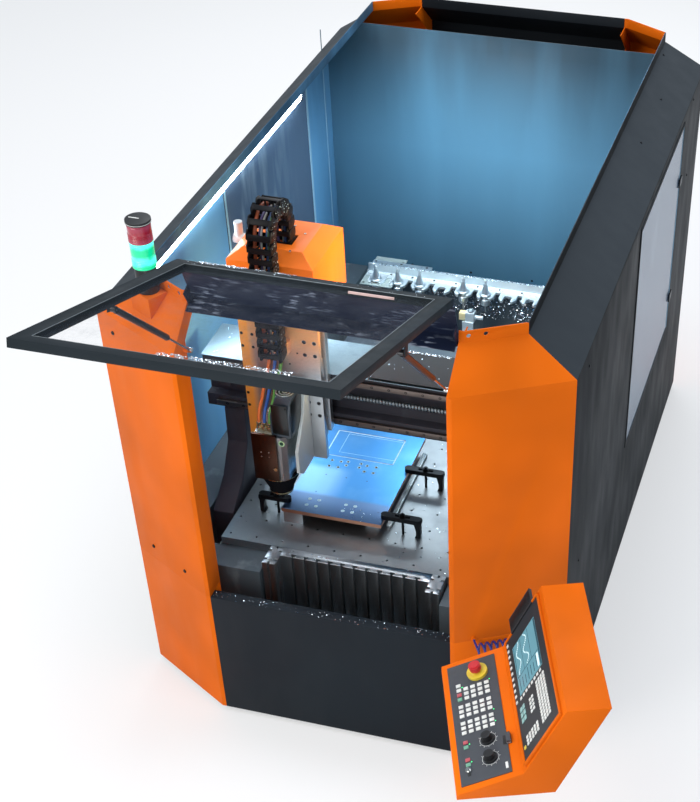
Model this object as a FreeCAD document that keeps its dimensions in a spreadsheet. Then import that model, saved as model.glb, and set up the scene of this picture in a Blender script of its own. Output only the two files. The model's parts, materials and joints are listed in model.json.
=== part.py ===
import FreeCAD, Part
import Sketcher
import math
import os

# A gantry machining center in an open-topped eight-sided enclosure.
# Millimetres, +X right, +Y to the rear, +Z up, floor at 0, origin amid the levelling feet.
# The door stands open and the gantry stands near the front, as the machine was seen.

os.makedirs("parts", exist_ok=True)
doc = FreeCAD.newDocument("machining_center")
V = FreeCAD.Vector

DRIVING_SIZES = {
    # enclosure
    "half_width": 790,
    "half_depth": 1390,
    "opening_half": 436,
    "front_land": 16,
    "corner_depth": 195,
    "sheet": 4,
    "skirt_bottom": 26,
    "seam_height": 565,
    "fold_height": 1556,
    "band_rise": 108,
    "lip_height": 38,
    "side_inset": 164,
    "end_inset": 140,
    "return_depth": 90,
    "apron_lip": 42,
    "window_front": -169,
    "window_rear": 736,
    "window_bottom": 590,
    "window_drop": 31,
    "window_seal": 16,
    "window_glass": 6,
    "rear_bay": 379,
    # base, feet, table
    "foot_radius": 35,
    "foot_inset_x": 190,
    "foot_inset_y": 390,
    "pan_thickness": 8,
    "table_half": 525,
    "table_inset": 319,
    "rack_bay": 522,
    "table_top": 570,
    "table_thickness": 30,
    "hole_pitch": 100,
    "hole_radius": 4.5,
    "hole_margin": 30,
    "slat_count": 12,
    "slat_wall_half": 280,
    "slat_wall_thickness": 44,
    "slat_wall_height": 300,
    "post_width": 50,
    "post_depth": 98,
    "shoulder_drop": 36,
    "guide_gap": 13,
    "guide_width": 80,
    "guide_drop": 180,
    "guide_end_gap": 11,
    "rail_width": 20,
    "rail_height": 27.7,
    "slide_gap": 0.3,
    # gantry
    "gantry_setback": 445,
    "beam_depth": 190,
    "beam_clearance": 324,
    "beam_height": 218,
    "beam_overhang": 62,
    "leg_foot_half": 300,
    "leg_foot_height": 144,
    # carriage
    "carriage_x": -332,
    "carriage_half": 150,
    "carriage_lift": 6,
    "carriage_rise": 388,
    "plate_thickness": 25,
    "block_depth": 22,
    "rail_depth": 15,
    "cover_sheet": 3,
    "cover_reach": 216,
    "cover_tail": 91,
    "cover_skirt": 125,
    "cover_rise": 85,
    "cover_roof": 33,
    "cover_hip": 52,
    # z axis
    "z_plate_half": 145,
    "z_plate_drop": 86,
    "z_plate_height": 562,
    "z_plate_thickness": 20,
    "chain_half": 43,
    "chain_inner": 55,
    "chain_outer": 110,
    "chain_rise": 70,
    "chain_drop": 120,
    # spindle
    "spindle_reach": 295,
    "spindle_half": 59,
    "spindle_back": 70,
    "spindle_lift": 2,
    "spindle_height": 185,
    "nose_radius": 66,
    "nose_height": 75,
    "nose_ring": 42,
    "tool_reach": 38,
    "hose_radius": 6,
    # door
    "hinge_inset": 14,
    "hinge_drop": 9,
    "door_gap": 5,
    "door_open": 107.2,
    "door_bar": 44,
    "door_depth": 25,
    "strut_inset": 21,
    "strut_neck": 50,
    "strut_radius": 10,
    "rod_radius": 4,
    # console
    "console_x": 516,
    "console_reach": 362,
    "console_z": 809,
    "console_yaw": 21.06,
    "console_length": 530,
    "keypad_face": 203,
    "keypad_tilt": 19.9,
    "screen_face": 263.4,
    "screen_tilt": 64.6,
    "console_top": 127,
    "panel_lift": 3,
    "key_first": 47,
    "key_pitch": 22.2,
    "arm_drop": 85,
    "arm_inset": 90,
    "stop_travel": 5,
    "arm_radius": 24,
    # tower, rack, work
    "pedestal_along": 193,
    "pedestal_width": 98,
    "pedestal_front": 46,
    "pedestal_rear": 118,
    "tower_radius": 38,
    "tower_drum": 87,
    "green_height": 86,
    "red_height": 60,
    "fork_count": 9,
    "fork_pitch": 98,
    "fork_first": -465,
    "fork_gap": 95,
    "fork_rise": 150,
    "work_left": -340,
    "work_setback": 143,
    "work_width": 383,
    "work_length": 560,
    "work_thickness": 15,
    "riser_height": 47,
    # air hose
    "coil_radius": 30,
    "coil_pitch": 22,
    "coil_turns": 6,
    "air_radius": 4,
}

FOLLOWING_SIZES = {
    "corner_start": "opening_half + front_land",
    "rim_height": "fold_height + band_rise",
    "window_top": "fold_height - window_drop",
    "inner_wall": "half_depth - rear_bay",
    "foot_x": "half_width - foot_inset_x",
    "foot_y": "half_depth - foot_inset_y",
    "table_front": "table_inset - half_depth",
    "table_rear": "inner_wall - rack_bay",
    "hole_columns": "floor((2 * table_half - 20) / hole_pitch) + 1",
    "hole_rows": "floor((table_rear - table_front) / hole_pitch)",
    "hole_first": "table_front + hole_margin",
    "shoulder_height": "table_top - shoulder_drop",
    "guide_inner": "table_half + guide_gap",
    "guide_top": "table_top - guide_drop",
    "guide_rear": "inner_wall - guide_end_gap",
    "gantry_middle": "table_front + gantry_setback",
    "beam_bottom": "table_top + beam_clearance",
    "beam_top": "beam_bottom + beam_height",
    "beam_half": "guide_inner + guide_width + beam_overhang",
    "carriage_bottom": "beam_bottom + carriage_lift",
    "carriage_top": "beam_top + carriage_rise",
    "cover_half": "carriage_half + cover_sheet",
    "cover_front": "gantry_middle - cover_reach",
    "cover_rear": "gantry_middle + cover_tail",
    "cover_bottom": "carriage_top - cover_skirt",
    "cover_edge": "carriage_top + cover_rise",
    "cover_top": "cover_edge + cover_roof",
    "z_plate_bottom": "beam_bottom - z_plate_drop",
    "z_plate_top": "z_plate_bottom + z_plate_height",
    "chain_height": "cover_top + chain_rise",
    "chain_end": "z_plate_top - chain_drop",
    "spindle_y": "gantry_middle - spindle_reach",
    "spindle_bottom": "z_plate_bottom + spindle_lift",
    "spindle_top": "spindle_bottom + spindle_height",
    "hinge_y": "hinge_inset + end_inset - half_depth",
    "hinge_z": "rim_height - hinge_drop",
    "door_half": "opening_half - door_gap",
    "strut_x": "opening_half - strut_inset",
    "console_y": "0 - half_depth - console_reach",
    "arm_height": "seam_height - arm_drop",
    "fork_y": "table_rear + fork_gap",
    "fork_level": "table_top + fork_rise",
    "work_front": "table_front + work_setback",
}

sheet = doc.addObject("Spreadsheet::Sheet", "Sizes")
rows = list(DRIVING_SIZES.items()) + [(alias, "=" + rule) for alias, rule in FOLLOWING_SIZES.items()]
for row, (alias, amount) in enumerate(rows, start=1):
    sheet.set(f"A{row}", alias)
    sheet.set(f"B{row}", str(amount))
    sheet.setAlias(f"B{row}", alias)
doc.recompute()


class Size:
    """A length that carries both its spreadsheet expression and its present value."""

    def __init__(self, text, value):
        self.text = text
        self.value = float(value)

    def __add__(self, other):
        other = as_size(other)
        return Size(f"({self.text} + {other.text})", self.value + other.value)

    def __sub__(self, other):
        other = as_size(other)
        return Size(f"({self.text} - {other.text})", self.value - other.value)

    def __mul__(self, other):
        other = as_size(other)
        return Size(f"({self.text} * {other.text})", self.value * other.value)

    def __truediv__(self, other):
        other = as_size(other)
        return Size(f"({self.text} / {other.text})", self.value / other.value)

    def __radd__(self, other):
        return as_size(other) + self

    def __rsub__(self, other):
        return as_size(other) - self

    def __rmul__(self, other):
        return as_size(other) * self

    def __rtruediv__(self, other):
        return as_size(other) / self

    def __neg__(self):
        return Size(f"(0 - {self.text})", -self.value)


def as_size(amount):
    if isinstance(amount, Size):
        return amount
    return Size(f"({float(amount)})", amount)


def cosine(degrees):
    return Size(f"cos({degrees.text} * 1 deg)", math.cos(math.radians(degrees.value)))


def sine(degrees):
    return Size(f"sin({degrees.text} * 1 deg)", math.sin(math.radians(degrees.value)))


def root(square):
    return Size(f"sqrt({square.text})", math.sqrt(square.value))


class Dimensions:
    """The named sizes of the sheet."""


g = Dimensions()
for alias, amount in rows:
    setattr(g, alias, Size(f"Sizes.{alias}", sheet.get(alias)))


# ---- builders -------------------------------------------------------------------

def bind(feature, name, amount):
    feature.setExpression(name, as_size(amount).text)


def place(feature, x, y, z, rotation=FreeCAD.Rotation()):
    amounts = [as_size(amount) for amount in (x, y, z)]
    feature.Placement = FreeCAD.Placement(V(*[amount.value for amount in amounts]), rotation)
    for axis, amount in zip("xyz", amounts):
        feature.setExpression(f"Placement.Base.{axis}", amount.text)
    return feature


def box(name, x, y, z):
    """A block from three (low, high) pairs."""
    block = doc.addObject("Part::Box", name)
    for prop, (low, high) in zip(("Length", "Width", "Height"), (x, y, z)):
        bind(block, prop, as_size(high) - low)
    return place(block, x[0], y[0], z[0])


AXIS_TURN = {
    "x": FreeCAD.Rotation(V(0, 1, 0), 90),
    "y": FreeCAD.Rotation(V(1, 0, 0), -90),
    "z": FreeCAD.Rotation(),
}


def rod(name, axis, start, radius, length):
    """A round bar that runs along the positive axis from its start."""
    bar = doc.addObject("Part::Cylinder", name)
    bind(bar, "Radius", radius)
    bind(bar, "Height", length)
    return place(bar, *start, rotation=AXIS_TURN[axis])


def cone(name, start, low_radius, high_radius, height):
    taper = doc.addObject("Part::Cone", name)
    bind(taper, "Radius1", low_radius)
    bind(taper, "Radius2", high_radius)
    bind(taper, "Height", height)
    return place(taper, *start)


def fuse(name, pieces):
    joined = doc.addObject("Part::MultiFuse", name)
    joined.Shapes = pieces
    joined.Refine = True
    return joined


def group(name, pieces):
    """Separate solids that share one node."""
    held = doc.addObject("Part::Compound", name)
    held.Links = pieces
    return held


def cut(name, base, tool):
    left = doc.addObject("Part::Cut", name)
    left.Base = base
    left.Tool = tool
    left.Refine = True
    return left


def body(name):
    made = doc.addObject("PartDesign::Body", name)
    return made


def sketch(owner, plane, level, outline=(), circles=()):
    """A closed outline and circles on one of the body's origin planes, at a level along its normal."""
    drawn = owner.newObject("Sketcher::SketchObject", owner.Name + "_sketch")
    support = [item for item in owner.Origin.OriginFeatures if item.Role == plane + "_Plane"][0]
    drawn.AttachmentSupport = (support, [""])
    drawn.MapMode = "FlatFace"
    level = as_size(level)
    if plane == "XZ":
        level = -level
    drawn.AttachmentOffset = FreeCAD.Placement(V(0, 0, level.value), FreeCAD.Rotation())
    drawn.setExpression("AttachmentOffset.Base.z", level.text)
    corners = [(as_size(u), as_size(v)) for u, v in outline]
    points = [V(u.value, v.value, 0) for u, v in corners]
    for index, point in enumerate(points):
        drawn.addGeometry(Part.LineSegment(point, points[(index + 1) % len(points)]))
    for index in range(len(points)):
        drawn.addConstraint(Sketcher.Constraint("Coincident", index, 2, (index + 1) % len(points), 1))
    for index, (u, v) in enumerate(corners):
        for kind, amount in (("DistanceX", u), ("DistanceY", v)):
            rule = Sketcher.Constraint(kind, -1, 1, index, 1, amount.value)
            drawn.setExpression(f"Constraints[{drawn.addConstraint(rule)}]", amount.text)
    for u, v, radius in circles:
        u, v, radius = as_size(u), as_size(v), as_size(radius)
        edge = drawn.addGeometry(Part.Circle(V(u.value, v.value, 0), V(0, 0, 1), radius.value))
        rules = (
            (Sketcher.Constraint("DistanceX", -1, 1, edge, 3, u.value), u),
            (Sketcher.Constraint("DistanceY", -1, 1, edge, 3, v.value), v),
            (Sketcher.Constraint("Radius", edge, radius.value), radius),
        )
        for rule, amount in rules:
            drawn.setExpression(f"Constraints[{drawn.addConstraint(rule)}]", amount.text)
    return drawn


def pad(owner, profile, length):
    raised = owner.newObject("PartDesign::Pad", owner.Name + "_pad")
    raised.Profile = profile
    bind(raised, "Length", length)
    return raised


def pocket(owner, profile, length):
    sunk = owner.newObject("PartDesign::Pocket", owner.Name + "_pocket")
    sunk.Profile = profile
    bind(sunk, "Length", length)
    return sunk


def loft(owner, low, high):
    blended = owner.newObject("PartDesign::AdditiveLoft", owner.Name + "_loft")
    blended.Profile = low
    blended.Sections = [high]
    blended.Ruled = True
    return blended


def plate(name, plane, level, outline, length, circles=()):
    """A body of one pad. XZ outlines grow towards the front, the others along their axis."""
    made = body(name)
    pad(made, sketch(made, plane, level, outline), length)
    if circles:
        shift = as_size(length)
        top = as_size(level) - shift if plane == "XZ" else as_size(level) + shift
        pocket(made, sketch(made, plane, top, circles=circles), shift)
    return made


def span(low, high):
    return (as_size(low), as_size(high))


def about(middle, half):
    return (middle - as_size(half), middle + as_size(half))


def rectangle(u, v):
    return [(u[0], v[0]), (u[1], v[0]), (u[1], v[1]), (u[0], v[1])]


nodes = []


def node(name, feature):
    feature.Label = name
    nodes.append((name, feature))
    return feature


# ---- enclosure ------------------------------------------------------------------

corner_slope = g.corner_depth / (g.half_width - g.corner_start)
corner_hyp = root(corner_slope * corner_slope + 1)
side_end = g.half_depth - g.corner_depth
rim_width = g.half_width - g.side_inset
rim_depth = g.half_depth - g.end_inset
rim_end = rim_depth - (rim_width - g.corner_start) * corner_slope
lip_top = g.rim_height + g.lip_height


def corner_plan(right, rear, width, depth, returned):
    """Plan of one corner panel: a short front land, the chamfer, and the inner return flange."""
    end = depth - (width - g.corner_start) * corner_slope
    inner_run = g.sheet * corner_hyp / corner_slope
    inner_bend = g.corner_start - g.sheet * (corner_hyp - 1) / corner_slope
    outline = [
        (g.opening_half, depth),
        (g.corner_start, depth),
        (width, end),
        (width - inner_run, end),
        (inner_bend, depth - g.sheet),
    ]
    if returned:
        outline += [
            (g.opening_half + g.sheet, depth - g.sheet),
            (g.opening_half + g.sheet, depth - g.return_depth),
            (g.opening_half, depth - g.return_depth),
        ]
    else:
        outline += [(g.opening_half, depth - g.sheet)]
    return [(u * right, v * rear) for u, v in outline]


def corner_panel(name, right, rear, bottom, top, crowned, returned=True):
    """An upright corner panel, and above it the band that leans in and the upright lip."""
    made = body(name)
    low = corner_plan(right, rear, g.half_width, g.half_depth, returned)
    pad(made, sketch(made, "XY", bottom, low), top - bottom)
    if crowned:
        high = corner_plan(right, rear, rim_width, rim_depth, returned)
        loft(made, sketch(made, "XY", top, low), sketch(made, "XY", g.rim_height, high))
        lip = corner_plan(right, rear, rim_width, rim_depth, False)
        pad(made, sketch(made, "XY", g.rim_height, lip), g.lip_height)
    return made


pivot_hole = g.rod_radius + 2
stud_spot = (-g.half_depth + g.return_depth - 15, g.fold_height - 24)
coil_spot = (g.corner_start + 52, g.seam_height - 20)
off_panel_x = corner_slope / corner_hyp
off_panel_y = -1 / corner_hyp


def panel_y(x):
    """Depth of the front corner panel's face at a place along X."""
    return -g.half_depth + (as_size(x) - g.corner_start) * corner_slope


def fitting(name, x, z):
    """A hose fitting that stands square on the right front corner panel."""
    piece = rod(name, "z", (0, 0, 0), 8, 12)
    piece.setExpression("Placement.Base", None)
    return face_fitting(piece, x, z)


def face_fitting(piece, x, z):
    x = as_size(x)
    outward = V(off_panel_x.value, off_panel_y.value, 0)
    for axis in "xyz":
        piece.setExpression(f"Placement.Base.{axis}", None)
    piece.Placement = FreeCAD.Placement(V(x.value, panel_y(x).value, as_size(z).value),
                                        FreeCAD.Rotation(V(0, 0, 1), outward))
    return piece


def lip_hole(right, along):
    """A cutter for a hole in a front pillar's lip, at a distance from the panel's bend."""
    outward = V(off_panel_x.value * right, off_panel_y.value, 0)
    across = as_size(along) / corner_hyp
    x, y = g.corner_start + across, across * corner_slope - rim_depth
    cutter = rod("lip_hole", "z", (0, 0, 0), 7, g.sheet + 4)
    for axis in "xyz":
        cutter.setExpression(f"Placement.Base.{axis}", None)
    middle = V(x.value * right, y.value, (g.rim_height + g.lip_height * 0.55).value)
    cutter.Placement = FreeCAD.Placement(middle - outward * (g.sheet.value + 2),
                                         FreeCAD.Rotation(V(0, 0, 1), outward))
    return cutter


coil_first = g.coil_pitch / 4
coil_last = g.coil_pitch * (g.coil_turns + 0.75)
upper_x = coil_spot[0] + coil_first / corner_hyp
lower_x = coil_spot[0] + coil_last / corner_hyp
for side, right in (("left", -1), ("right", 1)):
    pillar = corner_panel(f"pillar_{side}", right, -1, g.seam_height, g.fold_height, True)
    hole_level = g.opening_half * right + (g.sheet + 1 if right > 0 else 1)
    hole = sketch(pillar, "YZ", hole_level, circles=[(g.hinge_y, g.hinge_z, pivot_hole)])
    pocket(pillar, hole, g.sheet + 2)
    stud_start = g.strut_x + 6 + g.slide_gap if right > 0 else -g.opening_half - 1
    stud_length = g.opening_half + 1 - g.strut_x - 6 - g.slide_gap
    extras = [rod("ball_stud", "x", (stud_start, *stud_spot), 9, stud_length)]
    if right > 0:
        extras.append(fitting("upper_fitting", upper_x, coil_spot[1] + g.coil_radius))
    whole = fuse(f"pillar_{side}_whole", [pillar] + extras)
    holes = group(f"lip_holes_{side}", [lip_hole(right, along) for along in (15, 68)])
    node(f"front_pillar_{side}", cut(f"front_pillar_{side}", whole, holes))

node("lower_corner_panels", group("lower_corner_panels", [
    corner_panel("lower_panel_left", -1, -1, g.skirt_bottom, g.seam_height, False),
    fuse("lower_panel_right", [
        corner_panel("lower_panel_plain", 1, -1, g.skirt_bottom, g.seam_height, False),
        fitting("lower_fitting", lower_x, coil_spot[1] - g.coil_radius),
    ]),
]))
node("rear_pillars", group("rear_pillars", [
    corner_panel("rear_pillar_left", -1, 1, g.skirt_bottom, g.fold_height, True),
    corner_panel("rear_pillar_right", 1, 1, g.skirt_bottom, g.fold_height, True),
]))

window_side = span(g.window_front, g.window_rear)
window_rise = span(g.window_bottom, g.window_top)
for side, right in (("left", -1), ("right", 1)):
    wall = body(f"side_wall_{side}")
    low = rectangle(((g.half_width - g.sheet) * right, g.half_width * right), (-side_end, side_end))
    high = rectangle(((rim_width - g.sheet) * right, rim_width * right), (-rim_end, rim_end))
    pad(wall, sketch(wall, "XY", g.skirt_bottom, low), g.fold_height - g.skirt_bottom)
    loft(wall, sketch(wall, "XY", g.fold_height, low), sketch(wall, "XY", g.rim_height, high))
    pad(wall, sketch(wall, "XY", g.rim_height, high), g.lip_height)
    outside = g.half_width * right + (1 if right > 0 else g.sheet + 1)
    pocket(wall, sketch(wall, "YZ", outside, rectangle(window_side, window_rise)), g.sheet + 2)
    node(f"side_wall_{side}", wall)


def framed(low, high, width):
    return (low + width, high - width)


def side_window(right):
    middle = (g.half_width - g.sheet / 2) * right
    return box("pane", about(middle, g.window_glass / 2),
               framed(*window_side, g.window_seal), framed(*window_rise, g.window_seal))


def side_seal(right):
    middle = (g.half_width - g.sheet / 2) * right
    depth = g.window_glass / 2 + 2
    whole = box("seal_block", about(middle, depth), window_side, window_rise)
    hole = box("seal_hole", about(middle, depth + 1),
               framed(*window_side, g.window_seal), framed(*window_rise, g.window_seal))
    return cut("seal", whole, hole)


node("side_windows", group("side_windows", [side_window(-1), side_window(1)]))
node("window_seals", group("window_seals", [side_seal(-1), side_seal(1)]))

# front apron with its folded top lip, and the rear panel with its leaning band
front_face = -g.half_depth
node("front_apron", plate("front_apron", "YZ", -g.opening_half, [
    (front_face, g.skirt_bottom),
    (front_face + g.sheet, g.skirt_bottom),
    (front_face + g.sheet, g.seam_height - g.sheet),
    (front_face + g.apron_lip, g.seam_height - g.sheet),
    (front_face + g.apron_lip, g.seam_height),
    (front_face, g.seam_height),
], g.opening_half * 2))
lean = root(g.end_inset * g.end_inset + (g.rim_height - g.fold_height) * (g.rim_height - g.fold_height))
lean_back = g.sheet * (lean - g.end_inset) / (g.rim_height - g.fold_height)
node("rear_panel", plate("rear_panel", "YZ", -g.opening_half, [
    (g.half_depth, g.skirt_bottom),
    (g.half_depth, g.fold_height),
    (rim_depth, g.rim_height),
    (rim_depth, lip_top),
    (rim_depth - g.sheet, lip_top),
    (rim_depth - g.sheet, g.rim_height - lean_back),
    (g.half_depth - g.sheet, g.fold_height - lean_back),
    (g.half_depth - g.sheet, g.skirt_bottom),
], g.opening_half * 2))

# inner back wall: it closes the working space and follows the leaning bands
pan_top = g.skirt_bottom + g.pan_thickness
inner_width = g.half_width - g.sheet
inner_rim = rim_width - g.sheet
node("inner_back_wall", plate("inner_back_wall", "XZ", g.inner_wall + g.sheet, [
    (-inner_width, pan_top),
    (inner_width, pan_top),
    (inner_width, g.fold_height),
    (inner_rim, g.rim_height),
    (-inner_rim, g.rim_height),
    (-inner_width, g.fold_height),
], g.sheet))

# ---- base, feet, table ----------------------------------------------------------

inner_bend = g.corner_start - g.sheet * (corner_hyp - 1) / corner_slope
inner_end = side_end - (g.sheet * corner_hyp - g.sheet * corner_slope)
quarter = [(inner_bend, g.half_depth - g.sheet), (inner_width, inner_end)]
pan_outline = (
    [(u, v) for u, v in quarter]
    + [(u, -v) for u, v in reversed(quarter)]
    + [(-u, -v) for u, v in quarter]
    + [(-u, v) for u, v in reversed(quarter)]
)
flange_slot = g.return_depth + 1
pan = body("base_pan")
pad(pan, sketch(pan, "XY", g.skirt_bottom, pan_outline), g.pan_thickness)
for right in (-1, 1):
    for rear in (-1, 1):
        notch = rectangle(
            ((g.opening_half - 1) * right, (g.opening_half + g.sheet + 1) * right),
            ((g.half_depth - flange_slot) * rear, g.half_depth * rear))
        pocket(pan, sketch(pan, "XY", pan_top, notch), g.pan_thickness)
table_bottom = g.table_top - g.table_thickness
table_rear = g.table_rear
guide_outer = g.guide_inner + g.guide_width
rack_front = g.fork_y + 55
bed_parts = [pan]
bed_parts.append(box("table_bed", about(0, g.guide_inner - 40), span(g.table_front, table_rear),
                     span(pan_top, table_bottom)))
bed_parts.append(box("rack_bed", about(0, g.guide_inner - 40), span(rack_front, rack_front + 90),
                     span(pan_top, g.fork_level - 12)))
for right in (-1, 1):
    inner = (g.slat_wall_half + g.post_width + 6) * right
    outer = (guide_outer + 82) * right
    bed_parts.append(box("shoulder", (min(inner.value, outer.value), max(inner.value, outer.value)),
                         span(g.table_front - 114, g.table_front), span(pan_top, g.shoulder_height)))
    shelf_run = span(-side_end + 120, g.inner_wall - 10)
    near, far = (guide_outer + 34, inner_width - 2)
    low, high = (near, far) if right > 0 else (-far, -near)
    bed_parts.append(box("side_shelf", (low, high), shelf_run,
                         span(g.shoulder_height - 30, g.shoulder_height)))
    low, high = (near, near + 30) if right > 0 else (-near - 30, -near)
    bed_parts.append(box("shelf_web", (low, high), shelf_run,
                         span(pan_top, g.shoulder_height - 30)))
node("base_frame", fuse("base_frame", bed_parts))

feet = []
for across in (-1, 1):
    for along in (-1, 0, 1):
        spot = (g.foot_x * across, g.foot_y * along)
        disc = rod("foot_disc", "z", (*spot, 0), g.foot_radius, 12)
        stem = rod("foot_stem", "z", (*spot, 12), 10, g.skirt_bottom - 12)
        feet.append(fuse("foot", [disc, stem]))
node("levelling_feet", group("levelling_feet", feet))

table = body("machine_table")
pad(table, sketch(table, "XY", table_bottom,
                  rectangle(about(0, g.table_half), (g.table_front, table_rear))), g.table_thickness)
first_column = g.hole_pitch * (g.hole_columns - 1) / 2
first_hole = pocket(table, sketch(table, "XY", g.table_top,
                                  circles=[(-first_column, g.hole_first, g.hole_radius)]), g.table_thickness)
hole_grid = table.newObject("PartDesign::MultiTransform", "hole_grid")
steps = []
for axis, count in (("X_Axis", g.hole_columns), ("Y_Axis", g.hole_rows)):
    step = table.newObject("PartDesign::LinearPattern", "hole_step")
    line = [item for item in table.Origin.OriginFeatures if item.Role == axis][0]
    step.Direction = (line, [""])
    bind(step, "Length", g.hole_pitch * (count - 1))
    bind(step, "Occurrences", count)
    steps.append(step)
hole_grid.Originals = [first_hole]
hole_grid.Transformations = steps
table.Tip = hole_grid
node("machine_table", table)

# clamping wall below the table's front edge: slats with T-slots between them, and two corner posts
wall_back = g.table_front
wall_front = wall_back - g.slat_wall_thickness
slat_pitch = g.slat_wall_half * 2 / g.slat_count
slot_half, slot_depth, slot_wide, slot_neck = 4, 16, 9, 6
wall_outline = [(-g.slat_wall_half, wall_back), (-g.slat_wall_half, wall_front)]
for index in range(1, int(g.slat_count.value)):
    middle = -g.slat_wall_half + slat_pitch * index
    wall_outline += [
        (middle - slot_half, wall_front),
        (middle - slot_half, wall_front + slot_neck),
        (middle - slot_wide, wall_front + slot_neck),
        (middle - slot_wide, wall_front + slot_depth),
        (middle + slot_wide, wall_front + slot_depth),
        (middle + slot_wide, wall_front + slot_neck),
        (middle + slot_half, wall_front + slot_neck),
        (middle + slot_half, wall_front),
    ]
wall_outline += [(g.slat_wall_half, wall_front), (g.slat_wall_half, wall_back)]


def slotted_side(start, across, inward, length, middles):
    """Corners along one side of a post, with a square slot at each middle."""
    corners = []
    for middle in middles:
        for offset, depth in ((-slot_half, 0), (-slot_half, 12), (slot_half, 12), (slot_half, 0)):
            reach = as_size(length) * middle + offset
            corners.append((start[0] + reach * across[0] + depth * inward[0],
                            start[1] + reach * across[1] + depth * inward[1]))
    return corners


def post(name, left):
    """A post of slotted profile: two slots on its long sides and one on each short side."""
    right, rear, front = left + g.post_width, wall_back, wall_back - g.post_depth
    outline = [(left, front)]
    outline += slotted_side((left, front), (1, 0), (0, 1), g.post_width, (0.5,))
    outline += [(right, front)]
    outline += slotted_side((right, front), (0, 1), (-1, 0), g.post_depth, (0.25, 0.75))
    outline += [(right, rear)]
    outline += slotted_side((right, rear), (-1, 0), (0, -1), g.post_width, (0.5,))
    outline += [(left, rear)]
    outline += slotted_side((left, rear), (0, -1), (1, 0), g.post_depth, (0.25, 0.75))
    return plate(name, "XY", g.table_top - g.slat_wall_height, outline, g.slat_wall_height)


slats = plate("slat_wall", "XY", g.table_top - g.slat_wall_height, wall_outline, g.slat_wall_height)
node("clamping_wall", group("clamping_wall", [
    slats,
    post("post_left", -g.slat_wall_half - g.post_width),
    post("post_right", g.slat_wall_half),
]))

guides = []
for right in (-1, 1):
    inner, outer = g.guide_inner, guide_outer
    low, high = (inner, outer) if right > 0 else (-outer, -inner)
    bed = box("guide_bed", (low, high), span(g.table_front, g.guide_rear), span(pan_top, g.guide_top))
    middle = (inner + g.guide_width / 2) * right
    rail = box("guide_rail", about(middle, g.rail_width / 2), span(g.table_front, g.guide_rear),
               span(g.guide_top, g.guide_top + g.rail_height))
    guides.append(fuse("guide", [bed, rail]))
node("y_guides", group("y_guides", guides))

# ---- gantry ---------------------------------------------------------------------

beam_front = g.gantry_middle - g.beam_depth / 2
beam_rear = g.gantry_middle + g.beam_depth / 2
leg_bottom = g.guide_top + g.rail_height + g.slide_gap
foot_top = leg_bottom + g.leg_foot_height
legs = []
for right in (-1, 1):
    low = g.guide_inner if right > 0 else -guide_outer
    legs.append(plate("gantry_leg", "YZ", low, [
        (g.gantry_middle - g.leg_foot_half, leg_bottom),
        (g.gantry_middle + g.leg_foot_half - 75, leg_bottom),
        (g.gantry_middle + g.leg_foot_half - 75, foot_top),
        (beam_rear + 22, foot_top + 90),
        (beam_rear, foot_top + 190),
        (beam_rear, g.beam_bottom),
        (beam_front - 4, g.beam_bottom),
        (beam_front - 10, foot_top + 190),
        (beam_front - 86, foot_top + 79),
        (g.gantry_middle - g.leg_foot_half, foot_top),
    ], g.guide_width))
node("gantry_legs", group("gantry_legs", legs))

land = 50
recess = 40
beam_block = plate("beam_block", "YZ", -g.beam_half, [
    (beam_front, g.beam_bottom),
    (beam_rear, g.beam_bottom),
    (beam_rear, g.beam_top),
    (beam_front, g.beam_top),
    (beam_front, g.beam_top - land),
    (beam_front + recess, g.beam_top - land),
    (beam_front + recess, g.beam_bottom + land),
    (beam_front, g.beam_bottom + land),
], g.beam_half * 2)
cover_sheet = g.cover_sheet
node("beam_cover", plate("beam_cover", "YZ", -g.beam_half, [
    (beam_front - 10, g.beam_top),
    (beam_rear + 4, g.beam_top),
    (beam_rear + 4, g.beam_top + 8 + cover_sheet),
    (beam_front - 10, g.beam_top + cover_sheet),
], g.beam_half * 2))
rail_levels = (g.beam_bottom + land / 2, g.beam_top - land / 2)
rail_half = g.rail_width / 2
node("x_rails", group("x_rails", [
    box("x_rail", about(0, g.beam_half - 40), span(beam_front - g.rail_depth, beam_front), about(level, rail_half))
    for level in rail_levels
]))
screw_level = (g.beam_bottom + g.beam_top) / 2 + 12
screw_y = beam_front + 12
screw_radius = 11
screw_bar = rod("screw_bar", "x", (-g.beam_half + 60, screw_y, screw_level), screw_radius, g.beam_half * 2 - 120)
bearing_hole = screw_radius + 0.05
screw_blocks = []
for start in (-g.beam_half + 60, g.beam_half - 100):
    block = box("bearing", span(start, start + 40), span(screw_y - 20, beam_front + recess),
                about(screw_level, 24))
    bore = rod("bearing_bore", "x", (start - 1, screw_y, screw_level), bearing_hole, 42)
    screw_blocks.append(cut("bearing_block", block, bore))
node("gantry_beam", fuse("gantry_beam", [beam_block] + screw_blocks))
node("x_screw", screw_bar)

# ---- carriage -------------------------------------------------------------------

rail_face = beam_front - g.rail_depth
carriage_rear = beam_front - 25
carriage_front = carriage_rear - g.plate_thickness
carriage_parts = [box("carriage_slab", about(g.carriage_x, g.carriage_half), span(carriage_front, carriage_rear),
                      span(g.carriage_bottom, g.carriage_top))]
block_reach = rail_half + 14
for level in rail_levels:
    for across in (-1, 1):
        middle = g.carriage_x + (g.carriage_half - 45) * across
        block = box("x_block", about(middle, 38), span(carriage_rear, carriage_rear + g.block_depth),
                    about(level, block_reach))
        channel = box("x_channel", about(middle, 40), span(rail_face - g.slide_gap, carriage_rear + g.block_depth + 1),
                      about(level, rail_half + g.slide_gap))
        carriage_parts.append(cut("x_slide", block, channel))
nut_block = box("nut_block", about(g.carriage_x, 32), span(carriage_rear, beam_front + recess - 9),
                about(screw_level, 22))
nut_bore = rod("nut_bore", "x", (g.carriage_x - 33, screw_y, screw_level), bearing_hole, 66)
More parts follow.
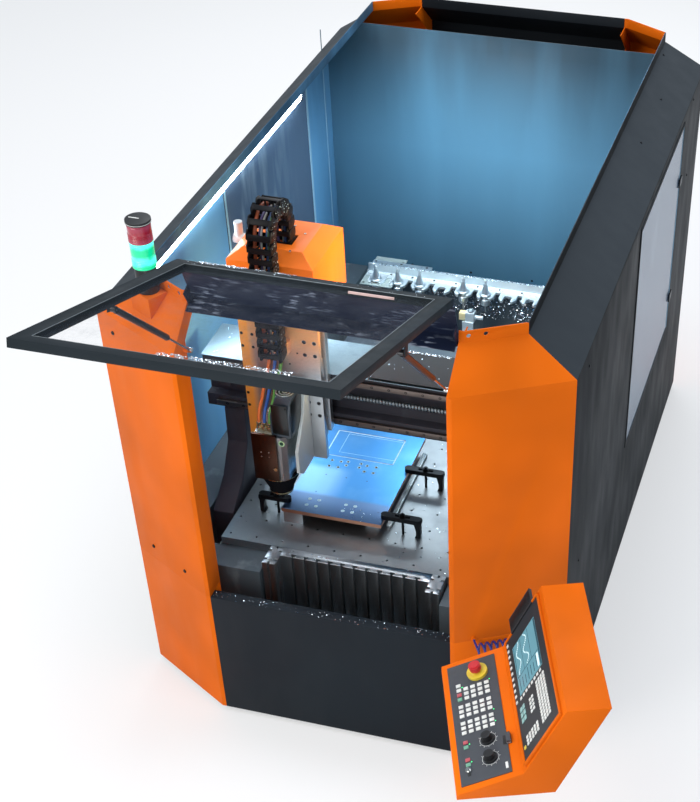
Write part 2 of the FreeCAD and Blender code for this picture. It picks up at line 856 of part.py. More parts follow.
carriage_parts.append(cut("screw_nut", nut_block, nut_bore))
z_rail_offset = 115
z_rail_rear = carriage_front
z_rail_front = carriage_front - g.rail_depth
for across in (-1, 1):
    carriage_parts.append(box("z_rail", about(g.carriage_x + z_rail_offset * across, rail_half),
                              span(z_rail_front, z_rail_rear), span(g.carriage_bottom, g.cover_bottom + 60)))
node("carriage_plate", fuse("carriage_plate", carriage_parts))


def hipped(name, half, front, rear, bottom, edge, top, hip):
    """A block with a hipped upper end."""
    made = body(name)
    low = rectangle(about(g.carriage_x, half), (front, rear))
    high = rectangle(about(g.carriage_x, half - hip), (front + hip, rear - hip))
    pad(made, sketch(made, "XY", bottom, low), edge - bottom)
    loft(made, sketch(made, "XY", edge, low), sketch(made, "XY", top, high))
    return made


chain_axis = g.cover_front - g.chain_inner - 14 + g.chain_outer
outer_cover = hipped("cover_outside", g.cover_half, g.cover_front, g.cover_rear, g.cover_bottom,
                     g.cover_edge, g.cover_top, g.cover_hip)
inner_cover = hipped("cover_inside", g.cover_half - cover_sheet, g.cover_front + cover_sheet,
                     g.cover_rear - cover_sheet, g.cover_bottom - 1, g.cover_edge - 1,
                     g.cover_top - cover_sheet, g.cover_hip)
chain_window = box("chain_window", about(g.carriage_x, g.chain_half + 6),
                   span(chain_axis + g.chain_inner - 6, chain_axis + g.chain_outer + 6),
                   span(g.cover_edge, g.cover_top + 1))
cable_slot = box("cable_slot", about(g.carriage_x, g.chain_half + 4), span(g.cover_front - 1, g.cover_front + 5),
                 span(g.cover_bottom - 1, g.cover_bottom + 140))
node("carriage_cover", cut("carriage_cover", outer_cover, fuse("cover_room", [inner_cover, chain_window, cable_slot])))

gland_x = g.carriage_x - g.cover_half
gland_body = rod("gland_body", "x", (gland_x - 62, g.cover_rear + 90 - 175, g.cover_edge - 45), 18, 62)
gland_nut = rod("gland_nut", "x", (gland_x - 16, g.cover_rear + 90 - 175, g.cover_edge - 45), 23, 16)
gland_cap = rod("gland_cap", "z", (gland_x - 44, g.cover_rear + 90 - 175, g.cover_edge - 45), 15, 62)
node("cable_glands", fuse("cable_glands", [gland_body, gland_nut, gland_cap]))

# energy chain: down into the cover at the rear, over the top, down in front to the z plate
arch = body("z_chain")
chain_rear_end = g.carriage_top - 30
path_outline = [
    (chain_axis + g.chain_inner, chain_rear_end),
    (chain_axis + g.chain_outer, chain_rear_end),
]
arch_steps = 10
for index in range(arch_steps + 1):
    angle = math.pi * index / arch_steps
    path_outline.append((chain_axis + g.chain_outer * math.cos(angle),
                         g.chain_height + g.chain_outer * math.sin(angle)))
path_outline += [
    (chain_axis - g.chain_outer, g.chain_end),
    (chain_axis - g.chain_inner, g.chain_end),
]
for index in range(arch_steps + 1):
    angle = math.pi * (arch_steps - index) / arch_steps
    path_outline.append((chain_axis + g.chain_inner * math.cos(angle),
                         g.chain_height + g.chain_inner * math.sin(angle)))
pad(arch, sketch(arch, "YZ", g.carriage_x - g.chain_half, path_outline), g.chain_half * 2)
node("z_chain", arch)

# ---- z slide and spindle --------------------------------------------------------

z_plate_rear = carriage_front - 30
z_plate_front = z_plate_rear - g.z_plate_thickness
z_parts = [box("z_slab", about(g.carriage_x, g.z_plate_half), span(z_plate_front, z_plate_rear),
               span(g.z_plate_bottom, g.z_plate_top))]
z_middle = (g.z_plate_bottom + g.z_plate_top) / 2
for across in (-1, 1):
    for up in (-1, 1):
        middle = g.carriage_x + z_rail_offset * across
        level = z_middle - 40 + 123 * up
        block = box("z_block", about(middle, block_reach), span(z_plate_rear, z_plate_rear + 26), about(level, 38))
        channel = box("z_channel", about(middle, rail_half + g.slide_gap),
                      span(z_rail_front - g.slide_gap, z_plate_rear + 27), about(level, 40))
        z_parts.append(cut("z_slide", block, channel))
chain_rear_face = chain_axis - g.chain_inner
anchor_top = g.chain_end + 46
z_parts.append(box("cable_anchor", about(g.carriage_x, g.chain_half), span(chain_rear_face + g.slide_gap, z_plate_front),
                   span(g.chain_end, anchor_top)))
node("z_plate", fuse("z_plate", z_parts))

spindle_rear = g.spindle_y + g.spindle_back
spindle_front = g.spindle_y - g.spindle_back
bracket_left = g.carriage_x - g.spindle_half
gusset_left = g.carriage_x + g.spindle_half + 24
gusset_thickness = 12
mount = box("spindle_mount", span(bracket_left, gusset_left), span(spindle_rear, z_plate_front),
            span(g.spindle_bottom + 4, g.spindle_top + 6))
gusset = plate("gusset", "YZ", gusset_left, [
    (z_plate_front, g.spindle_bottom),
    (z_plate_front, g.spindle_top + 150),
    (z_plate_front - 34, g.spindle_top + 150),
    (z_plate_front - 62, g.spindle_top + 40),
    (spindle_front + 26, g.spindle_top - 70),
    (spindle_front + 26, g.spindle_bottom + 26),
    (spindle_front + 60, g.spindle_bottom),
], gusset_thickness)
node("spindle_bracket", fuse("spindle_bracket", [mount, gusset]))

chamfer = 16
half = g.spindle_half
spindle_block = body("spindle_block")
pad(spindle_block, sketch(spindle_block, "XY", g.spindle_bottom, [
    (g.carriage_x - half + chamfer, spindle_front),
    (g.carriage_x + half - chamfer, spindle_front),
    (g.carriage_x + half, spindle_front + chamfer),
    (g.carriage_x + half, spindle_rear),
    (g.carriage_x - half, spindle_rear),
    (g.carriage_x - half, spindle_front + chamfer),
]), g.spindle_top - g.spindle_bottom)
nose_start = g.spindle_bottom - g.nose_height
ring_start = nose_start - 15
axis_spot = (g.carriage_x, g.spindle_y)
nose_flange = rod("nose_flange", "z", (*axis_spot, g.spindle_bottom - 22), g.nose_radius, 22)
nose_cone = cone("nose_cone", (*axis_spot, nose_start), g.nose_ring, g.nose_radius, g.nose_height - 22)
nose_ring = rod("nose_ring", "z", (*axis_spot, ring_start), g.nose_ring - 6, 15)
nose_bore = rod("nose_bore", "z", (*axis_spot, ring_start - 1), 25.05, 61)
spindle_nose = cut("spindle_nose", fuse("nose_whole", [nose_flange, nose_cone, nose_ring]), nose_bore)
journal = rod("journal", "z", (*axis_spot, ring_start - 2), 25, 58)
holder = cone("holder", (*axis_spot, ring_start - 24), 17, 25, 22)
cutter = rod("cutter", "z", (*axis_spot, ring_start - g.tool_reach), 5, g.tool_reach - 24)
node("spindle_tool", fuse("spindle_tool", [journal, holder, cutter]))

shield_rear = spindle_front
node("spindle_shield", box("spindle_shield", span(g.carriage_x - half - 2, g.carriage_x + 30),
                           span(shield_rear - 12, shield_rear), span(g.spindle_bottom + 4, g.spindle_top + 12)))
cowl = body("fan_cowl")
cowl_left, cowl_right = g.carriage_x + 8, gusset_left
cowl_low = rectangle((cowl_left, cowl_right), (spindle_front + 8, spindle_rear))
cowl_high = rectangle((cowl_left + 16, cowl_right), (spindle_front + 34, spindle_rear))
cowl_step = g.spindle_top + 85
pad(cowl, sketch(cowl, "XY", g.spindle_top, cowl_low), cowl_step - g.spindle_top)
loft(cowl, sketch(cowl, "XY", cowl_step, cowl_low), sketch(cowl, "XY", cowl_step + 62, cowl_high))
node("fan_cowl", cowl)


def bend_route(points, radius_note):
    """Straight runs joined by tangent arcs, each as large as its two runs allow."""
    edges = []
    start = points[0]
    radii = []
    for before, corner, after in zip(points, points[1:], points[2:]):
        into = (corner - before).normalize()
        out = (after - corner).normalize()
        turn = into.getAngle(out)
        reach = 0.45 * min(before.distanceToPoint(corner), corner.distanceToPoint(after))
        radii.append(reach / math.tan(turn / 2))
        enter = corner - into * reach
        leave = corner + out * reach
        middle = corner + (out - into).normalize() * (radii[-1] / math.cos(turn / 2) - radii[-1])
        edges.append(Part.LineSegment(start, enter).toShape())
        edges.append(Part.Arc(enter, middle, leave).toShape())
        start = leave
    edges.append(Part.LineSegment(start, points[-1]).toShape())
    print(radius_note, "radii", [round(radius, 1) for radius in radii])
    return Part.Wire(edges)


def tube(path, radius):
    """A solid round tube along a wire that starts along its first edge."""
    first = path.OrderedEdges[0]
    start = first.valueAt(first.FirstParameter)
    heading = first.tangentAt(first.FirstParameter)
    rim = Part.Wire([Part.Circle(start, heading, radius).toShape()])
    shell = Part.BRepOffsetAPI.MakePipeShell(path)
    shell.add(rim)
    shell.build()
    shell.makeSolid()
    return shell.shape()


def tube_node(name, points, radius):
    path = bend_route(points, name)
    shape = tube(path, radius.value)
    expected = math.pi * radius.value ** 2 * path.Length
    print(name, "length", round(path.Length, 1), "volume ratio", round(shape.Volume / expected, 4))
    held = doc.addObject("Part::Feature", name)
    held.Shape = shape
    return node(name, held)


# three hoses from the cable anchor down to the ports on the spindle
port_height = 12
port_level = g.spindle_top + port_height
HOSES = (("hose_orange", -34, -46), ("hose_blue", -12, -26), ("hose_green", 10, -6))
ports = []
for name, top_x, low_x in HOSES:
    middle = g.carriage_x + low_x
    port_y = g.spindle_y - 34
    ports.append(rod("port", "z", (middle, port_y, g.spindle_top), g.hose_radius + 3, port_height))
    start = V((g.carriage_x + top_x).value, (chain_rear_face + 18).value, g.chain_end.value)
    end = V(middle.value, port_y.value, port_level.value)
    drop = V(0, 0, -52)
    rise = V(0, 0, 52)
    quarter_way = start + (end - start) * 0.36 + V((low_x - top_x) * 0.1, 4, 0)
    half_way = start + (end - start) * 0.62 + V(0, -5, 0)
    tube_node(name, [start, start + drop, quarter_way, half_way, end + rise, end], g.hose_radius)
node("spindle_body", fuse("spindle_body", [spindle_block, spindle_nose] + ports))

# ---- door and its gas struts ----------------------------------------------------

door_turn = FreeCAD.Rotation(V(1, 0, 0), -g.door_open.value)
fold_y = -(g.half_depth + g.hinge_y)
fold_z = g.fold_height - g.hinge_z
rim_y = -(rim_depth + g.hinge_y)
rim_z = g.rim_height - g.hinge_z
door_bottom = g.seam_height + 6 - g.hinge_z
panel_run = rim_y - fold_y
panel_rise = rim_z - fold_z
panel_length = root(panel_run * panel_run + panel_rise * panel_rise)
along_y = panel_run / panel_length
along_z = panel_rise / panel_length


def off_panel(along, depth):
    """A point on the leaning door panel, from its fold line up and from its face inwards."""
    along, depth = as_size(along), as_size(depth)
    return (fold_y + along_y * along + along_z * depth, fold_z + along_z * along - along_y * depth)


def hang(feature):
    """Parts of the door are drawn closed about the hinge line, then swung open."""
    feature.Placement = FreeCAD.Placement(V(0, g.hinge_y.value, g.hinge_z.value), door_turn)
    feature.setExpression("Placement.Base.y", g.hinge_y.text)
    feature.setExpression("Placement.Base.z", g.hinge_z.text)
    feature.setExpression("Placement.Rotation.Angle", f"0 - {g.door_open.text}")
    return feature


door_back = fold_y + g.door_depth
panel_top = panel_length - 2
leaning = plate("door_leaning", "YZ", -g.door_half, [
    off_panel(0, 0),
    off_panel(panel_top, 0),
    off_panel(panel_top, 60),
    off_panel(panel_top - g.sheet, 60),
    off_panel(panel_top - g.sheet, g.sheet),
    (door_back, off_panel(g.door_depth / along_y, 0)[1] - g.sheet / along_y),
    (door_back, fold_z),
], g.door_half * 2)
ears = []
for right in (-1, 1):
    low = g.door_half - g.sheet if right > 0 else -g.door_half
    ears.append(plate("door_ear", "YZ", low, [
        off_panel(panel_top - 60, 1),
        off_panel(panel_top + 15, 1),
        off_panel(panel_top + 18, 20),
        off_panel(panel_top + 12, 30),
        off_panel(panel_top - 60, 40),
    ], g.sheet))
    pin_start = g.door_half - 2 if right > 0 else -g.opening_half - g.sheet
    pin_length = g.opening_half + g.sheet - g.door_half + 2
    ears.append(rod("door_pin", "x", (pin_start, 0, 0), pivot_hole - 0.05, pin_length))
node("door_panel", hang(fuse("door_panel", [leaning] + ears)))

frame_block = box("door_block", about(0, g.door_half), span(fold_y, door_back), span(door_bottom, fold_z))
frame_hole = box("door_hole", about(0, g.door_half - g.door_bar), span(fold_y - 1, door_back + 1),
                 span(door_bottom + g.door_bar, fold_z - g.door_bar))
strut_top_y = door_back + 24
strut_top_z = door_bottom + (fold_z - door_bottom) * 0.545
pin_radius = 3
studs = []
for right in (-1, 1):
    near, far = g.strut_x + g.strut_radius + 1, g.door_half - 1
    low = near if right > 0 else -far
    studs.append(box("strut_tab", span(low, low + (far - near)), span(door_back, strut_top_y + 9),
                     about(strut_top_z, 12)))
    start = g.strut_x - g.strut_radius - 3 if right > 0 else -far
    studs.append(rod("strut_pin", "x", (start, strut_top_y, strut_top_z), pin_radius,
                     far - g.strut_x + g.strut_radius + 3))
node("door_frame", hang(fuse("door_frame", [cut("door_ring", frame_block, frame_hole)] + studs)))
node("door_glass", hang(plate("door_glass", "XZ", fold_y + 14, rectangle(
    about(0, g.door_half - g.door_bar), (door_bottom + g.door_bar, fold_z - g.door_bar)), 6)))

open_angle = -g.door_open
upper_y = g.hinge_y + strut_top_y * cosine(open_angle) - strut_top_z * sine(open_angle)
upper_z = g.hinge_z + strut_top_y * sine(open_angle) + strut_top_z * cosine(open_angle)
lower_y = -g.half_depth + g.return_depth - 15
lower_z = g.fold_height - 24
strut_y = upper_y - lower_y
strut_z = upper_z - lower_z
strut_length = root(strut_y * strut_y + strut_z * strut_z)
closed_y = lower_y - g.hinge_y - strut_top_y
closed_z = lower_z - g.hinge_z - strut_top_z
closed_length = root(closed_y * closed_y + closed_z * closed_z)
stroke = strut_length - closed_length
strut_lean = math.degrees(math.atan2(strut_y.value, strut_z.value))
closed_lean = math.degrees(math.atan2(-closed_y.value, -closed_z.value))
print("strut open", round(strut_length.value, 2), "closed", round(closed_length.value, 2),
      "stroke", round(stroke.value, 3), "lean open", round(strut_lean, 3), "closed", round(closed_lean, 3))
print("strut pivots: door", round(upper_y.value, 2), round(upper_z.value, 2),
      "pillar", round(lower_y.value, 2), round(lower_z.value, 2))
bore_end = 50
cylinder_length = closed_length - g.strut_neck


def stand(feature, y, z):
    """A strut piece is drawn upright, then leaned along the line between the pivots."""
    feature.Placement = FreeCAD.Placement(V(0, y.value, z.value), FreeCAD.Rotation(V(1, 0, 0), -strut_lean))
    return feature


cylinders = []
rods = []
for right in (-1, 1):
    middle = g.strut_x * right
    barrel = rod("barrel", "z", (middle, 0, -cylinder_length), g.strut_radius, cylinder_length - 14)
    neck = rod("barrel_neck", "z", (middle, 0, -15), g.strut_radius - 4, 10)
    eye = rod("barrel_eye", "x", (middle - g.strut_radius + 2, 0, 0), g.strut_radius - 1, g.strut_radius * 2 - 4)
    bore = rod("barrel_bore", "z", (middle, 0, -cylinder_length - 1), g.rod_radius + 0.05,
               cylinder_length + 1 - bore_end)
    eye_bore = rod("eye_bore", "x", (middle - g.strut_radius - 1, 0, 0), pin_radius + 0.05, g.strut_radius * 2 + 2)
    cylinders.append(cut("cylinder", fuse("barrel_whole", [barrel, neck, eye]), group("barrel_holes", [bore, eye_bore])))
    stem = rod("stem", "z", (middle, 0, 0), g.rod_radius, strut_length - bore_end - stroke - 2)
    foot = rod("stem_eye", "x", (middle - 6, 0, 0), g.rod_radius + 4, 12)
    rods.append(fuse("strut_rod", [stem, foot]))
node("strut_cylinders", stand(group("strut_cylinders", cylinders), upper_y, upper_z))
node("strut_rods", stand(group("strut_rods", rods), lower_y, lower_z))

# ---- signal tower ---------------------------------------------------------------

band_depth = g.end_inset / corner_hyp
pedestal_top = g.rim_height + 3


def on_band(along, inward):
    """A place on the left front band's plan: along its fold line from the front land, and inward."""
    return (
        -g.corner_start - (as_size(along) - as_size(inward) * corner_slope) / corner_hyp,
        -g.half_depth + (as_size(along) * corner_slope + as_size(inward)) / corner_hyp,
    )


pedestal_sides = (g.pedestal_along - g.pedestal_width / 2, g.pedestal_along + g.pedestal_width / 2)
pedestal_block = plate("pedestal_block", "XY", g.fold_height, [
    on_band(pedestal_sides[0], g.pedestal_front),
    on_band(pedestal_sides[0], g.pedestal_rear),
    on_band(pedestal_sides[1], g.pedestal_rear),
    on_band(pedestal_sides[1], g.pedestal_front),
], pedestal_top - g.fold_height)
band_along = V(1, -corner_slope.value, 0).normalize()
band_up = V(corner_slope.value, 1, 0).normalize() * band_depth.value + V(0, 0, g.rim_height.value - g.fold_height.value)
band_up.normalize()
band_out = band_along.cross(band_up)
below_band = doc.addObject("Part::Box", "below_band")
below_band.Length = 500
below_band.Width = 260
below_band.Height = 120
fold_corner = V(-g.corner_start.value, -g.half_depth.value, g.fold_height.value)
below_band.Placement = FreeCAD.Placement(
    fold_corner - band_along * 420 - band_up * 40 - band_out * 120,
    FreeCAD.Rotation(band_along, band_up, band_out, "XYZ"))
node("tower_pedestal", cut("tower_pedestal", pedestal_block, below_band))
tower_spot = on_band(g.pedestal_along, (g.pedestal_front + g.pedestal_rear) / 2 + 2)
lamp_start = pedestal_top + g.tower_drum
lamp_bore = 12
tower_height = lamp_start + g.green_height + g.red_height
core = rod("tower_core", "z", (*tower_spot, pedestal_top), lamp_bore, tower_height - pedestal_top + 4)
base_drum = rod("tower_drum", "z", (*tower_spot, pedestal_top), g.tower_radius - 4, g.tower_drum)
cap_disc = rod("tower_cap", "z", (*tower_spot, tower_height), g.tower_radius + 2, 12)
node("tower_body", fuse("tower_body", [core, base_drum, cap_disc]))
lamps = (("tower_green", lamp_start, g.green_height), ("tower_red", lamp_start + g.green_height, g.red_height))
for name, start, height in lamps:
    lamp = rod("lamp", "z", (*tower_spot, start), g.tower_radius, height)
    bore = rod("lamp_bore", "z", (*tower_spot, start - 1), lamp_bore, height + 2)
    node(name, cut(name, lamp, bore))

# ---- light strip ----------------------------------------------------------------

strip_level = g.fold_height - 60
strip_stand = 5
strip_front = g.table_front + 91
node("led_strip", fuse("led_strip", [
    box("strip", span(-inner_width + strip_stand, -inner_width + strip_stand + 16), (strip_front, g.inner_wall - 391),
        about(strip_level, 15)),
    box("strip_spacer", span(-inner_width, -inner_width + strip_stand), (strip_front + 20, g.window_front - 30),
        about(strip_level, 8)),
]))

# ---- tool rack ------------------------------------------------------------------

fork_depth = 62
fork_half = 38
throat = 17
prong = 14
fork_bottom = g.fork_level - 12
rack_left = g.fork_first - fork_half - 20
rack_right = g.fork_first + g.fork_pitch * (g.fork_count - 1) + fork_half + 10
rack_parts = [
    box("rack_bar", span(rack_left, rack_right), span(g.fork_y + 34, rack_front + 26), span(fork_bottom, g.fork_level)),
    box("rack_sheet", span(rack_left - 10, rack_left + 260), span(rack_front + 26, rack_front + 120),
        span(fork_bottom, fork_bottom + 6)),
    box("rack_back", span(rack_left, rack_right), span(rack_front + 14, rack_front + 26),
        span(g.fork_level, g.fork_level + 34)),
]
for index in range(int(g.fork_count.value)):
    middle = g.fork_first + g.fork_pitch * index
    front = g.fork_y - 26
    rear = g.fork_y + 34
    rack_parts.append(plate("fork", "XY", fork_bottom, [
        (middle - fork_half, rear),
        (middle - fork_half, g.fork_y - 8),
        (middle - fork_half + 12, front),
        (middle - throat, front),
        (middle - throat, g.fork_y + 8),
        (middle - throat + 8, g.fork_y + throat),
        (middle + throat - 8, g.fork_y + throat),
        (middle + throat, g.fork_y + 8),
        (middle + throat, front),
        (middle + fork_half - 12, front),
        (middle + fork_half, g.fork_y - 8),
        (middle + fork_half, rear),
    ], 12))
# tool setter on a bracket at the table's rear edge, out of the spindle's way
setter_x = as_size(-28)
setter_y = table_rear + 22
setter = fuse("tool_setter", [
    box("setter_bracket", about(setter_x, 24), span(table_rear, table_rear + 8), span(table_bottom, g.table_top + 62)),
    box("setter_foot", about(setter_x, 24), span(table_rear, setter_y + 22), span(g.table_top + 54, g.table_top + 62)),
    box("setter_body", about(setter_x + 8, 20), about(setter_y, 17), span(g.table_top + 62, g.table_top + 104)),
    rod("setter_disc", "z", (setter_x + 8, setter_y, g.table_top + 104), 13, 9),
    rod("setter_cable", "x", (setter_x + 28, setter_y, g.table_top + 80), 9, 34),
    box("setter_cap", span(setter_x - 40, setter_x - 12), about(setter_y, 14), span(g.table_top + 66, g.table_top + 98)),
])
node("tool_rack", group("tool_rack", [fuse("rack", rack_parts), setter]))

holders = []
for index in (0, 1, 2, 4, 5):
    spot = (g.fork_first + g.fork_pitch * index, g.fork_y)
    neck = rod("holder_neck", "z", (*spot, fork_bottom - 4), throat - 1, 20)
    collar = rod("holder_collar", "z", (*spot, g.fork_level), throat + 8, 9)
    taper = cone("holder_taper", (*spot, g.fork_level + 9), throat, 7, 46)
    knob = rod("holder_knob", "z", (*spot, g.fork_level + 55), 5, 16)
    nut = rod("holder_nut", "z", (*spot, fork_bottom - 34), throat + 3, 30)
    bit = rod("holder_bit", "z", (*spot, fork_bottom - 70), 4, 36)
    holders.append(fuse("tool_holder", [neck, collar, taper, knob, nut, bit]))
node("tool_holders", group("tool_holders", holders))

# ---- workpiece and clamps -------------------------------------------------------

work_right = g.work_left + g.work_width
work_rear = g.work_front + g.work_length
work_bottom = g.table_top + g.riser_height
work_top = work_bottom + g.work_thickness
work_middle = g.work_left + g.work_width * 0.445
bores = []
for across in (-1, 1):
    for x, y in ((88, 43), (52, 43), (88, 80), (52, 80), (88, 291), (52, 291), (88, 328), (52, 328), (26, 310), (26, 334)):
        bores.append((work_middle + x * across, g.work_front + y, 4.5))
groove_side = span(g.work_left + 42, work_right - 67)
groove_run = span(g.work_front + 357, work_rear - 37)
groove_level = span(work_top - 1.5, work_top + 1)
groove = cut("work_groove", box("groove_outside", groove_side, groove_run, groove_level),
             box("groove_inside", (groove_side[0] + 5, groove_side[1] - 5), (groove_run[0] + 5, groove_run[1] - 5),
                 span(work_top - 2, work_top + 2)))
drilled = plate("work_plate", "XY", work_bottom, rectangle((g.work_left, work_right), (g.work_front, work_rear)),
                g.work_thickness, circles=bores)
node("workpiece", cut("workpiece", drilled, groove))
riser_width = 80
node("risers", group("risers", [
    box("riser_left", span(g.work_left + 6, g.work_left + riser_width), span(g.work_front + 1, work_rear - 4),
        span(g.table_top, work_bottom)),
    box("riser_right", span(work_right - riser_width, work_right - 30), span(g.work_front + 60, work_rear - 4),
        span(g.table_top, work_bottom)),
]))


def strap_clamp(heel_x, tip_x, y):
    """A strap on a heel block, held down by a screw and a nut."""
    low, high = (heel_x, tip_x) if as_size(heel_x).value < as_size(tip_x).value else (tip_x, heel_x)
    heel_side = 1 if low is heel_x else -1
    strap = box("strap", span(low, high), about(y, 15), span(work_top, work_top + 18))
    heel_low = heel_x if heel_side > 0 else heel_x - 26
    heel = box("heel", span(heel_low, heel_low + 26), about(y, 13), span(g.table_top, work_top))
    screw_x = heel_x + 72 * heel_side
    screw = rod("clamp_screw", "z", (screw_x, y, g.table_top), 5, work_top + 34 - g.table_top)
    nut = rod("clamp_nut", "z", (screw_x, y, work_top + 18), 10, 10)
    return fuse("strap_clamp", [strap, heel, screw, nut])


node("strap_clamps", group("strap_clamps", [
    strap_clamp(g.work_left - 104, g.work_left + 22, g.work_front + 47),
    strap_clamp(work_right + 140, work_right - 14, g.work_front + 47),
    strap_clamp(work_right + 140, work_right - 14, g.work_front + 338),
]))

# ---- swivelling console ---------------------------------------------------------

yaw = FreeCAD.Rotation(V(0, 0, 1), g.console_yaw.value)
keypad_x = g.keypad_face * cosine(g.keypad_tilt)
keypad_z = g.keypad_face * sine(g.keypad_tilt)
screen_x = keypad_x + g.screen_face * cosine(g.screen_tilt)
screen_z = keypad_z + g.screen_face * sine(g.screen_tilt)
console_under = -22
housing_outline = [
    (0, console_under),
    (285, console_under + 2),
    (screen_x + g.console_top, screen_z + 2),
    (screen_x, screen_z),
    (keypad_x, keypad_z),
    (0, 0),
]


def turn_console(feature):
    """Console parts are drawn with the back corner of the keypad at 0, then turned to the operator."""
    feature.Placement = FreeCAD.Placement(V(g.console_x.value, g.console_y.value, g.console_z.value), yaw)
    feature.setExpression("Placement.Base.x", g.console_x.text)
    feature.setExpression("Placement.Base.y", g.console_y.text)
    feature.setExpression("Placement.Base.z", g.console_z.text)
    feature.setExpression("Placement.Rotation.Angle", g.console_yaw.text)
    return feature


housing = plate("housing_block", "XZ", 0, housing_outline, g.console_length)
swivel_x, swivel_y = 170, -g.console_length / 2
swivel_disc = rod("swivel_disc", "z", (swivel_x, swivel_y, console_under - 30), 40, 31)
node("pendant_housing", turn_console(fuse("pendant_housing", [housing, swivel_disc])))


def lay_on_face(feature, tilt, x, z):
    """Parts drawn flat, X along the face, Y along the console and Z off the face, go onto a tilted face."""
    lean = FreeCAD.Rotation(V(0, 1, 0), -tilt.value)
    local = FreeCAD.Placement(V(as_size(x).value, 0, as_size(z).value), lean)
    whole = FreeCAD.Placement(V(g.console_x.value, g.console_y.value, g.console_z.value), yaw)
    feature.Placement = whole.multiply(local)
    return feature


keypad_face = (g.keypad_tilt, 0, 0)
screen_face = (g.screen_tilt, keypad_x, keypad_z)
panel_margin = 21
panel_side = (-g.console_length + panel_margin, as_size(-panel_margin))


def along_console(side):
    """A place along the console, which keeps its share of the console's length."""
    return g.console_length * (side / 530)


def flat_key(column, row_side):
    """A square key on the keypad, by its column and its place along the console."""
    middle = g.key_first + g.key_pitch * column
    return box("key", about(middle, 7), about(along_console(row_side), 6), span(g.panel_lift, g.panel_lift + 2))


key_row = 19.4
blocks = ((1, -132), (0, -202), (0, -270.5))
keypad_parts = [box("keypad_slab", span(18, g.keypad_face - 31), panel_side, span(0, g.panel_lift))]
keypad_parts += [flat_key(0, -112 - key_row * row) for row in range(4)]
for first_column, first_side in blocks:
    for row in range(3):
        keypad_parts += [flat_key(column, first_side - key_row * row) for column in range(first_column, 5)]
for first_side in (-348, -417):
    keypad_parts += [flat_key(0, first_side - key_row * row) for row in range(2)]
keypad_parts.append(box("usb_cap", span(g.keypad_face - 32, g.keypad_face - 19),
                        (along_console(-401), along_console(-366)), span(0, 14)))
node("keypad_panel", lay_on_face(fuse("keypad_panel", keypad_parts), *keypad_face))

display_side = (along_console(-276), along_console(-72))
display_run = span(57, g.screen_face - 63.4)
screen_slab = box("screen_slab", span(28, g.screen_face - 27), panel_side, span(0, g.panel_lift + 2))
display_room = box("display_room", display_run, display_side, span(g.panel_lift - 1, g.panel_lift + 3))
flap = box("screen_flap", span(72, g.screen_face - 55.4), span(panel_side[1], 44), span(0, 9))
node("screen_panel", lay_on_face(fuse("screen_panel", [cut("screen_cut", screen_slab, display_room), flap]),
                                 *screen_face))
display_pane = box("display_pane", display_run, display_side, span(g.panel_lift - 1, g.panel_lift + 1.5))
node("display", lay_on_face(group("display", [display_pane]), *screen_face))


def face_round(name, along, side, start, steps):
    """A turned button from (radius, height) steps, standing on the keypad face."""
    level = as_size(start)
    drums = []
    for radius, height in steps:
        drums.append(rod("drum", "z", (along, side, level), radius, height))
        level = level + height
    return node(name, lay_on_face(fuse(name, drums), *keypad_face))


stop_spot = (113, along_console(-80))
collar_height = g.stop_travel + 4
collar = rod("collar_ring", "z", (*stop_spot, g.panel_lift), 33, collar_height)
collar_bore = rod("collar_bore", "z", (*stop_spot, g.panel_lift - 1), 11.05, collar_height + 2)
node("estop_collar", lay_on_face(cut("estop_collar", collar, collar_bore), *keypad_face))
button_start = g.panel_lift + g.slide_gap
face_round("estop_button", *stop_spot, button_start + g.stop_travel, ((11, 14), (19, 16), (15, 3)))
for name, side in (("feed_knob_rear", -361), ("feed_knob_front", -435)):
    face_round(name, 115, along_console(side), button_start, ((21, 5), (15, 18)))
face_round("key_switch", 46, along_console(-461), button_start, ((9, 8), (6, 6)))

# arm: from the lower right corner panel forward, then up to the swivel
swivel_world = FreeCAD.Placement(V(g.console_x.value, g.console_y.value, g.console_z.value), yaw).multVec(
    V(swivel_x, swivel_y.value, 0))
arm_root = V((g.half_width - g.arm_inset).value, 0, g.arm_height.value)
arm_root.y = -(g.half_depth.value - (arm_root.x - g.corner_start.value) * corner_slope.value)
outward = V(corner_slope.value, -1, 0).normalize()
post_top = g.console_z.value + console_under - 30 - g.slide_gap.value
arm_path = bend_route([
    arm_root,
    arm_root + outward * 110,
    V(swivel_world.x - 8, swivel_world.y + 190, arm_root.z),
    V(swivel_world.x, swivel_world.y, arm_root.z),
    V(swivel_world.x, swivel_world.y, post_top),
], "pendant_arm")
arm_tube = tube(arm_path, g.arm_radius.value)
flange = Part.makeCylinder(48, 10, arm_root, outward)
arm = doc.addObject("Part::Feature", "pendant_arm")
arm.Shape = arm_tube.fuse(flange).removeSplitter()
node("pendant_arm", arm)

# ---- coiled air hose ------------------------------------------------------------


def biarc(start, start_heading, end, end_heading):
    """Two tangent arcs between two points with given headings."""
    chord = end - start
    heading_sum = start_heading + end_heading
    a = 2 * (1 - start_heading.dot(end_heading))
    b = 2 * chord.dot(heading_sum)
    c = -chord.dot(chord)
    reach = -c / b if abs(a) < 1e-9 else (-b + math.sqrt(b * b - 4 * a * c)) / (2 * a)
    first_knot = start + start_heading * reach
    second_knot = end - end_heading * reach
    joint = (first_knot + second_knot) * 0.5
    return [arc_from(start, start_heading, joint), arc_from(joint, (second_knot - first_knot).normalize(), end)]


